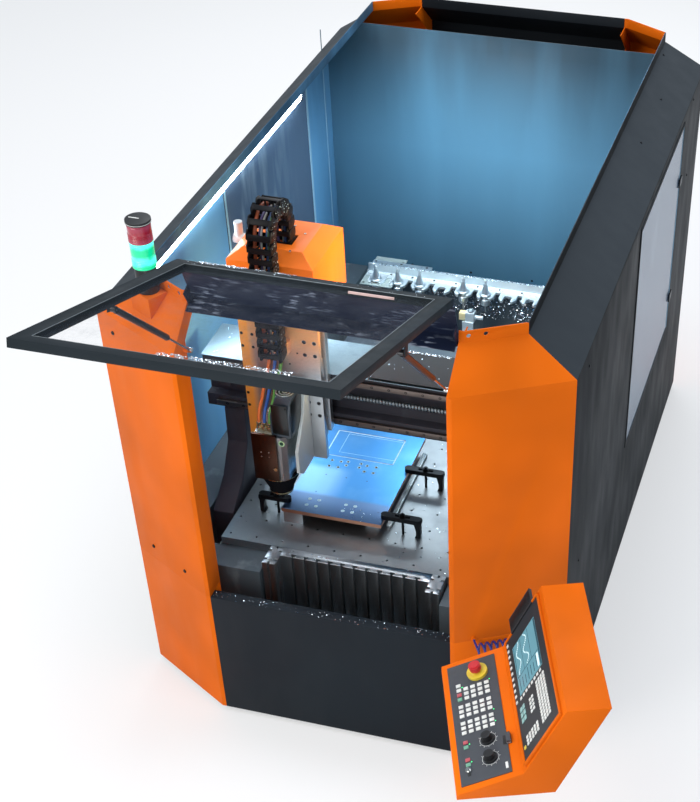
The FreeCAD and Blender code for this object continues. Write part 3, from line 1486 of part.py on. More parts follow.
def arc_from(start, heading, end):
    """The arc that leaves start along heading and reaches end."""
    chord = end - start
    normal = (chord - heading * chord.dot(heading))
    if normal.Length < 1e-7:
        return Part.LineSegment(start, end).toShape()
    normal.normalize()
    radius = chord.dot(chord) / (2 * chord.dot(normal))
    centre = start + normal * radius
    middle = centre + ((start + end) * 0.5 - centre).normalize() * radius
    return Part.Arc(start, middle, end).toShape()


along_panel = V(1, corner_slope.value, 0).normalize()
off_face = V(corner_slope.value, -1, 0).normalize()


def face_point(x, stand_off, z):
    """A point in front of the lower right corner panel."""
    return V(x, panel_y(x).value, z) + off_face * stand_off


coil_off = 44
fitting_length = 12
coil_origin = face_point(coil_spot[0].value, coil_off, coil_spot[1].value)
steps_per_turn = 4
first_step = 1
last_step = int(g.coil_turns.value) * steps_per_turn + 3


def coil_point(step):
    angle = 2 * math.pi * step / steps_per_turn
    radial = off_face * -math.cos(angle) + V(0, 0, 1) * math.sin(angle)
    return coil_origin + along_panel * (g.coil_pitch.value * step / steps_per_turn) + radial * g.coil_radius.value


def coil_heading(step):
    angle = 2 * math.pi * step / steps_per_turn
    swing = (off_face * math.sin(angle) + V(0, 0, 1) * math.cos(angle)) * (2 * math.pi * g.coil_radius.value)
    return (swing + along_panel * g.coil_pitch.value).normalize()


inlet = coil_point(first_step) - off_face * (coil_off - fitting_length)
outlet = coil_point(last_step) - off_face * (coil_off - fitting_length)
straight = off_face * (g.air_radius.value * 2 + 2)
coil_edges = [Part.LineSegment(inlet, inlet + straight).toShape()]
coil_edges += biarc(inlet + straight, off_face, coil_point(first_step), coil_heading(first_step))
for step in range(first_step, last_step):
    coil_edges += biarc(coil_point(step), coil_heading(step), coil_point(step + 1), coil_heading(step + 1))
coil_edges += biarc(coil_point(last_step), coil_heading(last_step), outlet + straight, -off_face)
coil_edges.append(Part.LineSegment(outlet + straight, outlet).toShape())
coil_path = Part.Wire(coil_edges)
coil_solid = tube(coil_path, g.air_radius.value)
air_hose = doc.addObject("Part::Feature", "air_hose")
air_hose.Shape = coil_solid
node("air_hose", air_hose)
print("air_hose length", round(coil_path.Length, 1), "volume ratio",
      round(coil_solid.Volume / (math.pi * g.air_radius.value ** 2 * coil_path.Length), 4))
samples = coil_path.discretize(Number=1200)
spacing = coil_path.Length / 1199
skip = int(3 * g.air_radius.value / spacing) + 1
least = min(samples[i].distanceToPoint(samples[j])
            for i in range(0, len(samples), 3) for j in range(i + skip, len(samples), 3))
print("air_hose least gap to itself", round(least - 2 * g.air_radius.value, 2))

# ---- checks and export ----------------------------------------------------------

doc.recompute()
faults = 0
for item in doc.Objects:
    if "Invalid" in item.State or "Error" in item.State:
        print("fault in", item.Name, item.State)
        faults += 1
for name, feature in nodes:
    shape = feature.Shape
    if shape.isNull() or not shape.isValid() or not shape.Solids:
        print("bad shape", name)
        faults += 1
        continue
    print(f"{name:22s} solids {len(shape.Solids)} volume {shape.Volume / 1e6:9.3f} box",
          [round(v) for v in (shape.BoundBox.XMin, shape.BoundBox.XMax, shape.BoundBox.YMin,
                              shape.BoundBox.YMax, shape.BoundBox.ZMin, shape.BoundBox.ZMax)])
if faults:
    raise RuntimeError(f"{faults} faults")
for name, feature in nodes:
    feature.Shape.exportStep(f"parts/{name}.step")
print("nodes", len(nodes))
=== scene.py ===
"""A gantry machining center in an open-topped enclosure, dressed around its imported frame."""

import json
import logging
import math
import random
from collections.abc import Callable, Iterable, Sequence
from dataclasses import dataclass
from enum import Enum

import bmesh
import bpy
from mathutils import Matrix, Vector

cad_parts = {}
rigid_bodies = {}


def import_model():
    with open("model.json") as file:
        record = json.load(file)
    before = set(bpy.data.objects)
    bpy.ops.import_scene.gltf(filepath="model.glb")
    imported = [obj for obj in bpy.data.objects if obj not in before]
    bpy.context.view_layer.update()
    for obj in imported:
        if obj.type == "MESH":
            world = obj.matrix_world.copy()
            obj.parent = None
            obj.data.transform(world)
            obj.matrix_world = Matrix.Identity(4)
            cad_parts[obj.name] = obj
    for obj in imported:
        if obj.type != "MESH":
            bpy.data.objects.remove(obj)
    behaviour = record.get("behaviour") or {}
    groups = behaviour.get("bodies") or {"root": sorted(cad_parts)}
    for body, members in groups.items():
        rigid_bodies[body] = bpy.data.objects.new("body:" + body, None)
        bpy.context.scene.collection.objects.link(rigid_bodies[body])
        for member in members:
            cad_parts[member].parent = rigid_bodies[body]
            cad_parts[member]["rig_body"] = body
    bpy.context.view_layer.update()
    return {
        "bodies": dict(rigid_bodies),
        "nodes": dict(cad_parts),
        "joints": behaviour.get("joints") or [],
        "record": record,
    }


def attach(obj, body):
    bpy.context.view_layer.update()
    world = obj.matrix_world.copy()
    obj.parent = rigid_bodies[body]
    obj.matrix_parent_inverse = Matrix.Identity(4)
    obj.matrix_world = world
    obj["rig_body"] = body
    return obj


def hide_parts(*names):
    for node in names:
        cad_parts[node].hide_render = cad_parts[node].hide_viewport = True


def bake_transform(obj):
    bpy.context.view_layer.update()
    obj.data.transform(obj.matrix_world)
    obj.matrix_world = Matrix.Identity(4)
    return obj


log = logging.getLogger("machining_center")
MM = 0.001
Point = Sequence[float]


# ---- shader helpers -----------------------------------------------------------------

def linear(hex_colour: str) -> tuple[float, float, float, float]:
    """Turn an sRGB hex colour into linear light.

    Args:
        hex_colour: six hex digits, with or without a leading #.

    Returns:
        Red, green, blue and an alpha of 1, linear.
    """
    digits = hex_colour.lstrip("#")
    channels = [int(digits[i:i + 2], 16) / 255 for i in (0, 2, 4)]
    red, green, blue = [c / 12.92 if c <= 0.04045 else ((c + 0.055) / 1.055) ** 2.4 for c in channels]
    return red, green, blue, 1.0


def shade(hex_colour: str, factor: float) -> str:
    """A colour made darker or lighter by a factor on its sRGB values."""
    digits = hex_colour.lstrip("#")
    channels = [min(255, round(int(digits[i:i + 2], 16) * factor)) for i in (0, 2, 4)]
    return "#" + "".join(f"{c:02x}" for c in channels)


def add_node(tree: bpy.types.NodeTree, kind: str, inputs: dict | None = None, **settings) -> bpy.types.Node:
    """Add a shader node, set it up and link it.

    Args:
        tree: the material's node tree.
        kind: the node's type name.
        inputs: values or output sockets, by input name or index.
        settings: the node's own properties.

    Returns:
        The new node.
    """
    made = tree.nodes.new(kind)
    for name, value in settings.items():
        setattr(made, name, value)
    plug(tree, made, inputs or {})
    return made


def plug(tree: bpy.types.NodeTree, node: bpy.types.Node, inputs: dict) -> None:
    """Link or set a node's inputs.

    Args:
        tree: the node tree.
        node: the node.
        inputs: values or output sockets, by input name or index.
    """
    for key, value in inputs.items():
        if isinstance(value, bpy.types.NodeSocket):
            tree.links.new(value, node.inputs[key])
        else:
            node.inputs[key].default_value = value


class Surface:
    """A material in the making: its Principled shader, and patterns of a real size that drive it."""

    def __init__(self, material: bpy.types.Material) -> None:
        """Open a material.

        Args:
            material: a material that uses nodes.
        """
        self.tree = material.node_tree
        self.shader = self.tree.nodes["Principled BSDF"]
        self.place = self.add("ShaderNodeTexCoord").outputs["Object"]

    def add(self, kind: str, inputs: dict | None = None, **settings) -> bpy.types.Node:
        """Add a node to this material, as add_node does."""
        return add_node(self.tree, kind, inputs, **settings)

    def feed(self, inputs: dict) -> None:
        """Link or set inputs of the Principled shader."""
        plug(self.tree, self.shader, inputs)

    def colour_so_far(self) -> bpy.types.NodeSocket:
        """The socket that drives the base colour now."""
        return self.shader.inputs["Base Color"].links[0].from_socket

    def axes(self, vector: bpy.types.NodeSocket | None = None) -> Sequence[bpy.types.NodeSocket]:
        """The X, Y and Z sockets of a vector, or of the place if none is given."""
        return self.add("ShaderNodeSeparateXYZ", {0: self.place if vector is None else vector}).outputs

    def product(self, first: bpy.types.NodeSocket, second: bpy.types.NodeSocket) -> bpy.types.NodeSocket:
        """The product of two values: a pattern inside another."""
        return self.add("ShaderNodeMath", {0: first, 1: second}, operation="MULTIPLY").outputs[0]

    def noise(self, size_mm: float, detail: float = 3.0, stretch: Point | None = None) -> bpy.types.NodeSocket:
        """A noise of a real size.

        Args:
            size_mm: the size of a feature.
            detail: how many finer layers it has.
            stretch: scales along X, Y and Z that draw the features out.

        Returns:
            The noise's value socket, about 0 to 1.
        """
        place = self.place
        if stretch:
            place = self.add("ShaderNodeMapping", {"Vector": place, "Scale": stretch}).outputs[0]
        inputs = {"Vector": place, "Scale": per_metre(size_mm), "Detail": detail}
        return self.add("ShaderNodeTexNoise", inputs).outputs[0]

    def ramp(self, value: bpy.types.NodeSocket, low: float, high: float,
             to_low: float = 0.0, to_high: float = 1.0) -> bpy.types.NodeSocket:
        """Map a value's range onto another, clamped.

        Args:
            value: the socket to map.
            low: the value that becomes to_low.
            high: the value that becomes to_high.
            to_low: what low becomes.
            to_high: what high becomes.

        Returns:
            The mapped socket.
        """
        inputs = {"Value": value, "From Min": low, "From Max": high, "To Min": to_low, "To Max": to_high}
        return self.add("ShaderNodeMapRange", inputs).outputs[0]

    def blend(self, share: bpy.types.NodeSocket, first: object, second: object) -> bpy.types.NodeSocket:
        """Mix two colours.

        Args:
            share: how much of the second shows, 0 to 1.
            first: an sRGB hex colour or a colour socket.
            second: an sRGB hex colour or a colour socket.

        Returns:
            The mixed colour's socket.
        """
        ends = [linear(end) if isinstance(end, str) else end for end in (first, second)]
        return self.add("ShaderNodeMix", {0: share, 6: ends[0], 7: ends[1]}, data_type="RGBA").outputs[2]

    def raise_by(self, height: bpy.types.NodeSocket, depth_mm: float, strength: float) -> None:
        """Raise the surface by a height map.

        Args:
            height: the height socket, 0 to 1.
            depth_mm: how high 1 stands.
            strength: the share of the effect.
        """
        bump = self.add("ShaderNodeBump", {"Height": height, "Distance": depth_mm * MM, "Strength": strength})
        self.feed({"Normal": bump.outputs[0]})


def per_metre(size_mm: float) -> float:
    """The texture scale whose features are about this many millimetres."""
    return 1000.0 / size_mm


# ---- finishes -----------------------------------------------------------------------

@dataclass(frozen=True)
class Finish:
    """A surface finish: its name, its sRGB colour and its roughness."""

    name: str
    colour: str
    roughness: float

    def material(self) -> bpy.types.Material:
        """The finish as a Blender material, which is made once."""
        made = bpy.data.materials.get(self.name)
        if made is None:
            made = bpy.data.materials.new(self.name)
            made.use_nodes = True
            surface = Surface(made)
            surface.feed({"Base Color": linear(self.colour), "Roughness": self.roughness})
            self.dress(surface)
        return made

    def dress(self, surface: Surface) -> None:
        """Give the surface its pattern. Each kind of finish has its own."""
        raise NotImplementedError


@dataclass(frozen=True)
class PowderCoat(Finish):
    """Powder coat on sheet steel: baked on, with a soft orange peel and a thin film of shop dust."""

    peel_mm: float = 2.4
    drift: float = 0.06
    dust: float = 0.25
    dust_colour: str = "#9A9690"
    sheen: float = 0.3

    def dress(self, surface: Surface) -> None:
        """Orange peel, a slow drift of the tone, and dust in streaks."""
        slow = surface.ramp(surface.noise(420, 2.0), 0.35, 0.65)
        tone = surface.blend(slow, shade(self.colour, 1 - self.drift), shade(self.colour, 1 + self.drift))
        film = surface.noise(90, 8.0, (1.0, 1.0, 0.35))
        streaks = surface.ramp(film, 0.55, 0.8, 0.0, self.dust)
        surface.feed({
            "Specular IOR Level": self.sheen,
            "Base Color": surface.blend(streaks, tone, self.dust_colour),
            "Roughness": surface.ramp(film, 0.3, 0.8, self.roughness - 0.05, self.roughness + 0.15),
        })
        surface.raise_by(surface.noise(self.peel_mm, 1.0), 0.05, 0.35)


@dataclass(frozen=True)
class WallPaint(PowderCoat):
    """Powder-coated enclosure sheet: one colour outside, painted lighter on upward faces as painted sky light, and a
    cooler painted light on the wet side that faces inwards.
    """

    inward_painted_light: str = "#4D6E84"
    slope_painted_light: str = "#3A4045"

    def dress(self, surface: Surface) -> None:
        """The coat's pattern and lighter upward faces, then the inward faces in painted cold light, lighter towards
        the front and in painted shade towards the top, with dried coolant runs.
        """
        super().dress(surface)
        normal = surface.add("ShaderNodeNewGeometry").outputs["Normal"]
        # Upward faces are painted lighter: painted light from the sky.
        sloped = surface.ramp(surface.axes(normal)[2], 0.3, 0.8, 0.0, 0.8)
        outer = surface.blend(sloped, surface.colour_so_far(), self.slope_painted_light)
        # A face whose normal points to the machine's upright middle axis is on the wet side, which gets the painted
        # cold light.
        flat = surface.add("ShaderNodeVectorMath", {0: surface.place, 1: (1.0, 1.0, 0.0)}, operation="MULTIPLY")
        outward = surface.add("ShaderNodeVectorMath", {0: flat.outputs[0], 1: normal}, operation="DOT_PRODUCT")
        inward = surface.add("ShaderNodeMath", {0: outward.outputs["Value"], 1: -0.02}, operation="LESS_THAN")
        axes = surface.axes()
        # The inward faces' colour is painted cold light from the strip and the sky, painted lighter towards the front.
        front = surface.blend(surface.ramp(axes[1], -0.4, 0.8, 0.9, 0.0),
                              self.inward_painted_light, shade(self.inward_painted_light, 1.35))
        # Painted shade: darker towards the top of the inward faces.
        lit = surface.blend(surface.ramp(axes[2], 1.15, 1.6), front, shade(self.inward_painted_light, 0.58))
        runs = surface.ramp(surface.noise(190, 3.0, (1.0, 1.0, 0.16)), 0.4, 0.75, 0.0, 0.4)
        # Dried coolant runs over the painted light.
        wet = surface.blend(runs, lit, shade(self.inward_painted_light, 1.14))
        surface.feed({"Base Color": surface.blend(inward.outputs[0], outer, wet)})


@dataclass(frozen=True)
class SmearedPaint(PowderCoat):
    """Dark powder coat that was wiped with an oily cloth: short pale strokes on a navy sheen."""

    swirl_colour: str = "#5A6272"

    def dress(self, surface: Surface) -> None:
        """The coat's pattern, then short wiped strokes in patches."""
        super().dress(surface)
        strokes = surface.ramp(surface.noise(15, 4.0, (0.3, 1.0, 1.5)), 0.54, 0.66)
        patches = surface.ramp(surface.noise(130, 2.0), 0.42, 0.6, 0.0, 0.8)
        share = surface.product(strokes, patches)
        surface.feed({"Base Color": surface.blend(share, surface.colour_so_far(), self.swirl_colour)})


@dataclass(frozen=True)
class Metal(Finish):
    """Bare metal with a cut direction: milled, ground or drawn, with cutter marks of a real pitch."""

    pitch_mm: float = 3.0
    stretch: tuple[float, float, float] = (0.04, 1.0, 1.0)
    depth_mm: float = 0.03
    stain: float = 0.25
    stain_colour: str = "#5B6066"
    spread: float = 1.0

    def dress(self, surface: Surface) -> None:
        """Cut marks along one direction, and stains of dried coolant."""
        marks = surface.noise(self.pitch_mm, 4.0, self.stretch)
        stains = surface.ramp(surface.noise(120, 6.0), 0.5, 0.72, 0.0, self.stain)
        tone = surface.blend(marks, shade(self.colour, 1 - 0.1 * self.spread),
                             shade(self.colour, 1 + 0.08 * self.spread))
        surface.feed({
            "Metallic": 1.0,
            "Base Color": surface.blend(stains, tone, self.stain_colour),
            "Roughness": surface.ramp(marks, 0.3, 0.7, self.roughness * (1 - 0.25 * self.spread),
                                      self.roughness * (1 + 0.3 * self.spread)),
        })
        surface.raise_by(marks, self.depth_mm, 0.5)


@dataclass(frozen=True)
class CladPlate(Metal):
    """Smooth rolled plate under a film of coolant, with a darker band along its front edge and a painted reflection on
    its left middle.
    """

    band_colour: str = "#62789A"
    band_start: float = -0.822
    band_end: float = -0.806
    painted_reflection_colour: str = "#93BAD6"
    edge_colour: str = "#C8957C"

    def dress(self, surface: Surface) -> None:
        """The plate's faint rolling marks, then a pale painted reflection, the darker band and the sawn edges."""
        super().dress(surface)
        axes = surface.axes()
        # A pale patch on the plate's left middle: a painted reflection.
        near = surface.ramp(axes[0], -0.22, -0.15, 0.5, 0.0)
        far = surface.ramp(axes[1], -0.66, -0.63, 1.0, 0.0)
        wiped = surface.blend(surface.product(near, far), surface.colour_so_far(), self.painted_reflection_colour)
        share = surface.ramp(axes[1], self.band_start, self.band_end, 0.8, 0.0)
        banded = surface.blend(share, wiped, self.band_colour)
        normal = surface.add("ShaderNodeNewGeometry").outputs["Normal"]
        side = surface.ramp(surface.axes(normal)[2], 0.3, 0.6, 1.0, 0.0)
        surface.feed({"Base Color": surface.blend(side, banded, self.edge_colour)})


@dataclass(frozen=True)
class PaintedReflectionPlate(Metal):
    """Anodised plate with the orange of the hood over it painted on as a painted reflection: on its left strip and in
    its upper part.
    """

    tint: str = "#FFAA45"
    strip_x: float = -0.44
    painted_reflection_level: float = 1.2

    def dress(self, surface: Surface) -> None:
        """The metal's marks, then the painted orange reflection from two sides."""
        super().dress(surface)
        axes = surface.axes()
        left = surface.ramp(axes[0], self.strip_x - 0.01, self.strip_x + 0.03, 1.0, 0.0)
        upper = surface.ramp(axes[2], self.painted_reflection_level - 0.04, self.painted_reflection_level + 0.1, 0.0, 0.75)
        share = surface.add("ShaderNodeMath", {0: left, 1: upper}, operation="MAXIMUM").outputs[0]
        surface.feed({"Base Color": surface.blend(share, surface.colour_so_far(), self.tint),
                      "Metallic": surface.ramp(share, 0.0, 1.0, 1.0, 0.1)})


@dataclass(frozen=True)
class Moulded(Finish):
    """Injection moulded plastic: an even spark-eroded grain, a little shiny where hands rub it."""

    grain_mm: float = 0.9
    depth_mm: float = 0.04
    coat: float = 0.0
    sheen: float = 0.5

    def dress(self, surface: Surface) -> None:
        """Grain, and a faint uneven tone."""
        tone = surface.blend(surface.noise(25), shade(self.colour, 0.93), shade(self.colour, 1.07))
        surface.feed({"IOR": 1.5, "Specular IOR Level": self.sheen, "Coat Weight": self.coat, "Base Color": tone})
        surface.raise_by(surface.noise(self.grain_mm, 2.0), self.depth_mm, 0.3)


@dataclass(frozen=True)
class Elastomer(Finish):
    """Extruded rubber or polyurethane: matt, with fine lines along the way it was drawn."""

    dust_colour: str = "#6E6C68"

    def dress(self, surface: Surface) -> None:
        """A dusty bloom over the plain colour."""
        bloom = surface.ramp(surface.noise(14, 5.0), 0.5, 0.8, 0.0, 0.2)
        surface.feed({"IOR": 1.52, "Base Color": surface.blend(bloom, self.colour, self.dust_colour)})
        surface.raise_by(surface.noise(1.5, 2.0), 0.05, 0.3)


@dataclass(frozen=True)
class ClearSheet(Finish):
    """Clear polycarbonate sheet, wiped by hand: it mirrors a little and holds pale smears."""

    clear: float = 0.12
    smear: float = 0.3
    smear_mm: float = 70.0
    mirror: float = 0.8
    runs: str = ""

    def dress(self, surface: Surface) -> None:
        """Alpha from the smears, so that light and shadow still pass, and pale runs if they have a colour."""
        surface.feed({"IOR": 1.58, "Specular IOR Level": self.mirror})
        wiped = surface.product(surface.noise(self.smear_mm, 9.0, (1.0, 1.0, 0.45)),
                                surface.noise(7.0, 6.0, (1.0, 0.3, 1.0)))
        surface.feed({"Alpha": surface.ramp(wiped, 0.2, 0.42, self.clear, self.clear + self.smear)})
        if self.runs:
            drips = surface.ramp(surface.noise(60, 3.0, (1.0, 1.0, 0.2)), 0.48, 0.7, 0.0, 0.6)
            near = surface.ramp(surface.axes()[1], 0.1, 0.6, 0.6, 0.0)
            surface.feed({"Base Color": surface.blend(surface.product(drips, near), self.colour, self.runs)})
        else:
            surface.feed({"Roughness": surface.ramp(wiped, 0.2, 0.42, self.roughness, self.roughness + 0.3)})


@dataclass(frozen=True)
class Lens(Finish):
    """A lamp's moulded lens: clear coloured plastic over a light that is on or off."""

    core: str = "#FFFFFF"
    strength: float = 0.0
    band_mm: float = 9.0

    def dress(self, surface: Surface) -> None:
        """Prism bands down the lens, brighter where the light stands behind."""
        # One wave of the texture takes about a twentieth of its scale.
        wave = {"Vector": surface.place, "Scale": per_metre(self.band_mm) / 20, "Distortion": 1.5}
        bands = surface.add("ShaderNodeTexWave", wave, bands_direction="Z").outputs[1]
        share = surface.ramp(surface.product(bands, surface.noise(28, 2.0)), 0.12, 0.5)
        tone = surface.blend(share, self.colour, self.core)
        surface.feed({"IOR": 1.49, "Coat Weight": 0.6, "Base Color": tone,
                      "Emission Color": tone, "Emission Strength": self.strength})


@dataclass(frozen=True)
class Glow(Finish):
    """A surface that gives light: a diffuser or an indicator."""

    strength: float = 1.0

    def dress(self, surface: Surface) -> None:
        """Light with the slight unevenness of separate diodes behind the diffuser."""
        tone = surface.blend(surface.noise(40, 1.0), shade(self.colour, 0.94), self.colour)
        surface.feed({"Emission Color": tone, "Emission Strength": self.strength})


# Powder-coated sheet steel. A lively orange that goes redder where it turns from the light.
ORANGE = PowderCoat("orange_powder_coat", "#DC650B", 0.45, dust=0.03, dust_colour="#EE8A40", sheen=0.07)
# The same orange on the small hood, which shines more; its lighter colour is painted light from the lamp that stands
# near it.
LIT_HOOD_ORANGE = PowderCoat("hood_coat_painted_lighter", "#F0741A", 0.34, dust=0.05, dust_colour="#F7B070", sheen=0.3)
# Fine-textured anthracite coat: nearly black in shade; its blue-grey inward faces and lighter sloped tops are painted
# light from the sky and the light strip.
ANTHRACITE = WallPaint("anthracite_powder_coat", "#16191C", 0.55, dust=0.03, dust_colour="#26292D",
                       inward_painted_light="#5F93B8", sheen=0.1)
# The same coat on the rear panel, which is as dark inside as outside.
REAR_COAT = PowderCoat("rear_panel_coat", "#1F2327", 0.55, dust=0.04, dust_colour="#30353A", sheen=0.08)
# Black seal outside; the clamping strip round the sheet's wet side is painted pale, a painted highlight along its
# edge.
SEAL = WallPaint("window_seal_and_strip", "#16181A", 0.55, dust=0.05, dust_colour="#3A3D40",
                 inward_painted_light="#8FB3C8", sheen=0.1)
# The low sheet across the front, a shade bluer than the walls in the light from the floor.
APRON = PowderCoat("apron_powder_coat", "#191F25", 0.5, dust=0.04, dust_colour="#333B44", sheen=0.12)
# The working space's rear wall: coated steel, its blue tones painted light from the cold light strip.
INNER_WALL = WallPaint("inner_wall_coat", "#3F6076", 0.42, dust=0.10, inward_painted_light="#4F7991", sheen=0.2)
# Navy coat with the pale strokes that an oily cloth leaves.
DOOR_PANEL = SmearedPaint("wiped_navy_coat", "#161D31", 0.4, dust=0.04, dust_colour="#333B4A",
                          swirl_colour="#98A2B4", sheen=0.15)
# Coated steel profile: even black with hardly a highlight.
DOOR_FRAME = PowderCoat("black_profile_coat", "#23292D", 0.5, dust=0.06, dust_colour="#333B3E", sheen=0.05)
# Mineral casting with a grey sealing paint: dull and slightly rough.
CASTING = PowderCoat("sealed_mineral_casting", "#4E5A61", 0.6, peel_mm=6.0, dust=0.45, dust_colour="#A9B6BB")
# Cast iron beam and legs under a thick dark grey paint.
IRON = PowderCoat("painted_cast_iron", "#383840", 0.5, peel_mm=5.0, dust=0.22, dust_colour="#6C737A")
# Milled cast plate: cutter lines across and a grey haze of dried coolant.
TABLE = Metal("milled_aluminium_table", "#979DA1", 0.42, pitch_mm=2.0, stretch=(0.05, 1.0, 1.0),
              depth_mm=0.04, stain=0.35)
# Machined aluminium: bright, with fine lines along Y.
ALUMINIUM = Metal("machined_aluminium", "#BFC5C9", 0.34, pitch_mm=1.2, stretch=(1.0, 0.06, 1.0))
# Rolled and clad plate under a wet film: smooth, its blue colour a painted reflection of the walls and the strip.
WORK = CladPlate("clad_aluminium_plate", "#4483BC", 0.33, pitch_mm=2.4, stretch=(1.0, 0.05, 1.0),
                 depth_mm=0.003, stain=0.10, stain_colour="#A9DEFA", spread=0.25)
# Clear anodised plate: satin silver, with the hood's orange painted on as a painted reflection.
Z_PLATE = PaintedReflectionPlate("anodised_slide_plate", "#B9BEC1", 0.36, pitch_mm=1.2, stretch=(1.0, 1.0, 0.06), depth_mm=0.01,
                      stain=0.10, spread=0.5)
# Pale coats on folded sheet and on the cast bracket: dull, with a soft edge to each highlight.
RACK_BASE = PowderCoat("pale_grey_coat", "#8E9B99", 0.5, dust=0.05, dust_colour="#A5B0AE", sheen=0.3)
BRACKET = PowderCoat("grey_green_bracket_coat", "#D3DEDD", 0.5, dust=0.05, dust_colour="#E4EAEA", sheen=0.4)
# Hard anodised forks and sheet, painted paler still as painted light from the light strip that bleaches them.
RACK = Metal("pale_anodised_rack", "#E2ECEE", 0.5, pitch_mm=1.5, depth_mm=0.01, stain=0.15,
             stain_colour="#9FB4BC", spread=0.5)
# Ground and hardened rails: long sharp highlights; the oiled ones are browner and duller.
RAIL_STEEL = Metal("ground_rail_steel", "#B4B8BC", 0.22, pitch_mm=0.8, stretch=(0.03, 1.0, 1.0), stain=0.2)
RAIL_DARK = Metal("oiled_rail_steel", "#7C716B", 0.36, pitch_mm=0.8, stretch=(0.03, 1.0, 1.0), stain=0.3,
                  stain_colour="#4A403C")
# Planed guide beds and the screw: grey steel with stains.
GUIDE_STEEL = Metal("guide_bed_steel", "#7E868B", 0.45, pitch_mm=1.5, stretch=(1.0, 0.03, 1.0), stain=0.45)
# Oil-blackened steel: dark, with a faint metal glint.
BLACK_STEEL = Metal("blackened_steel", "#25272A", 0.4, pitch_mm=2.0, stretch=(1.0, 1.0, 0.3), stain=0.1)
# Polished nickel plate: small, sharp highlights.
CHROME = Metal("nickel_plated_brass", "#D2D3D1", 0.14, pitch_mm=0.6, stain=0.08)
# Zinc-coated cover sheet: a cool, broken shine.
SHEET_METAL = Metal("galvanised_cover_sheet", "#8FA6B0", 0.42, pitch_mm=6.0, stretch=(0.2, 1.0, 1.0), depth_mm=0.01,
                    stain=0.15, stain_colour="#7A8D96", spread=0.5)
# Near-black grained sheet on the beam cover's right part: a painted dark reflection of the dark parts above it.
DARK_REFLECTION_MAT = Moulded("painted_dark_reflection_mat", "#15171A", 0.6, grain_mm=2.5)
# Bronze anodised sheet: a dark warm metal.
BROWN_SHIELD = Metal("bronze_anodised_shield", "#4A352C", 0.35, pitch_mm=1.0, stain=0.15, stain_colour="#7A5A48")
# Moulded ABS: grained black, polished black with a sharper highlight, and the head's slate cover.
BLACK_PLASTIC = Moulded("black_abs", "#17181A", 0.42)
GLOSS_BLACK = Moulded("polished_black_abs", "#0C1416", 0.3, depth_mm=0.01, coat=0.1)
COWL = Moulded("slate_cowl_abs", "#36424C", 0.38)
# Stoved black coats: matt on the nose, glossy on the struts.
NOSE_BLACK = PowderCoat("black_nose_coat", "#15161A", 0.6, dust=0.03, dust_colour="#2A2C30", sheen=0.03)
LACQUER = Moulded("black_strut_lacquer", "#131418", 0.3, depth_mm=0.005)
# Nylon parts: pale glands, and chain links whose glass fill gives a coarse dull skin.
GLAND_GREY = Moulded("pale_gland_nylon", "#C9CFD2", 0.4)
CHAIN_PLASTIC = Moulded("glass_filled_nylon", "#0E0E11", 0.45, grain_mm=1.6, sheen=0.15)
# The console's two plates: an even, fine grain.
GREY_PLATE = Moulded("anodised_key_plate", "#3D4147", 0.48, grain_mm=0.7)
SCREEN_PLATE = Moulded("screen_bezel_abs", "#25272B", 0.42, grain_mm=0.7)
# Key caps: smooth moulded plastic in pale, dusty colours.
WHITE_KEY = Moulded("white_key_cap", "#D9DAD6", 0.35, depth_mm=0.02)
RED_KEY = Moulded("red_key_cap", "#B4535A", 0.35, depth_mm=0.02)
GREEN_KEY = Moulded("green_key_cap", "#6FA58C", 0.35, depth_mm=0.02)
TEAL_KEY = Moulded("teal_key_cap", "#8DB5B2", 0.35, depth_mm=0.02)
YELLOW_KEY = Moulded("yellow_key_cap", "#D8C04A", 0.35, depth_mm=0.02)
# The stop button and its collar: glossy, clear signal colours.
STOP_RED = Moulded("stop_button_red", "#C4242B", 0.28, coat=0.4)
COLLAR_YELLOW = Moulded("collar_yellow", "#DDC33C", 0.36, coat=0.2)
# Hoses and leads: soft extruded jackets, the leads dulled by dust.
AIR_BLUE = Elastomer("blue_polyurethane", "#1A2F80", 0.26, dust_colour="#4169C8")
HOSE_ORANGE = Elastomer("orange_hose_jacket", "#E0702A", 0.36)
HOSE_BLUE = Elastomer("blue_hose_jacket", "#2B5FB0", 0.36)
HOSE_GREEN = Elastomer("green_hose_jacket", "#5FA348", 0.36)
LEAD_ORANGE = Elastomer("dull_orange_lead", "#A34E2A", 0.5)
LEAD_PURPLE = Elastomer("dull_purple_lead", "#473D66", 0.5)
LEAD_BLUE = Elastomer("dull_blue_lead", "#24406F", 0.5)
LEAD_GREEN = Elastomer("dull_green_lead", "#38593A", 0.5)
LEAD_WHITE = Elastomer("dull_white_lead", "#9A9A96", 0.5)
# Clear door sheet: hardly there, apart from a few wiped smears.
CLEAR_DOOR = ClearSheet("door_polycarbonate", "#4E5866", 0.06, clear=0.03, smear=0.08, mirror=0.35)
# Smoke-tinted sheet in the walls, streaked by coolant: the shop behind it shows only dimly.
CLEAR_WINDOW = ClearSheet("window_polycarbonate", "#4E6279", 0.2, clear=0.9, smear=0.03, smear_mm=160.0, mirror=0.25,
                          runs="#A8BCC8")
# Signal lamps: the green one is lit, the red one only glows faintly.
GREEN_LENS = Lens("green_lamp_lens", "#00BC80", 0.2, core="#52F2E0", strength=0.9)
RED_LENS = Lens("red_lamp_lens", "#A01830", 0.2, core="#A5364F", strength=0.08)
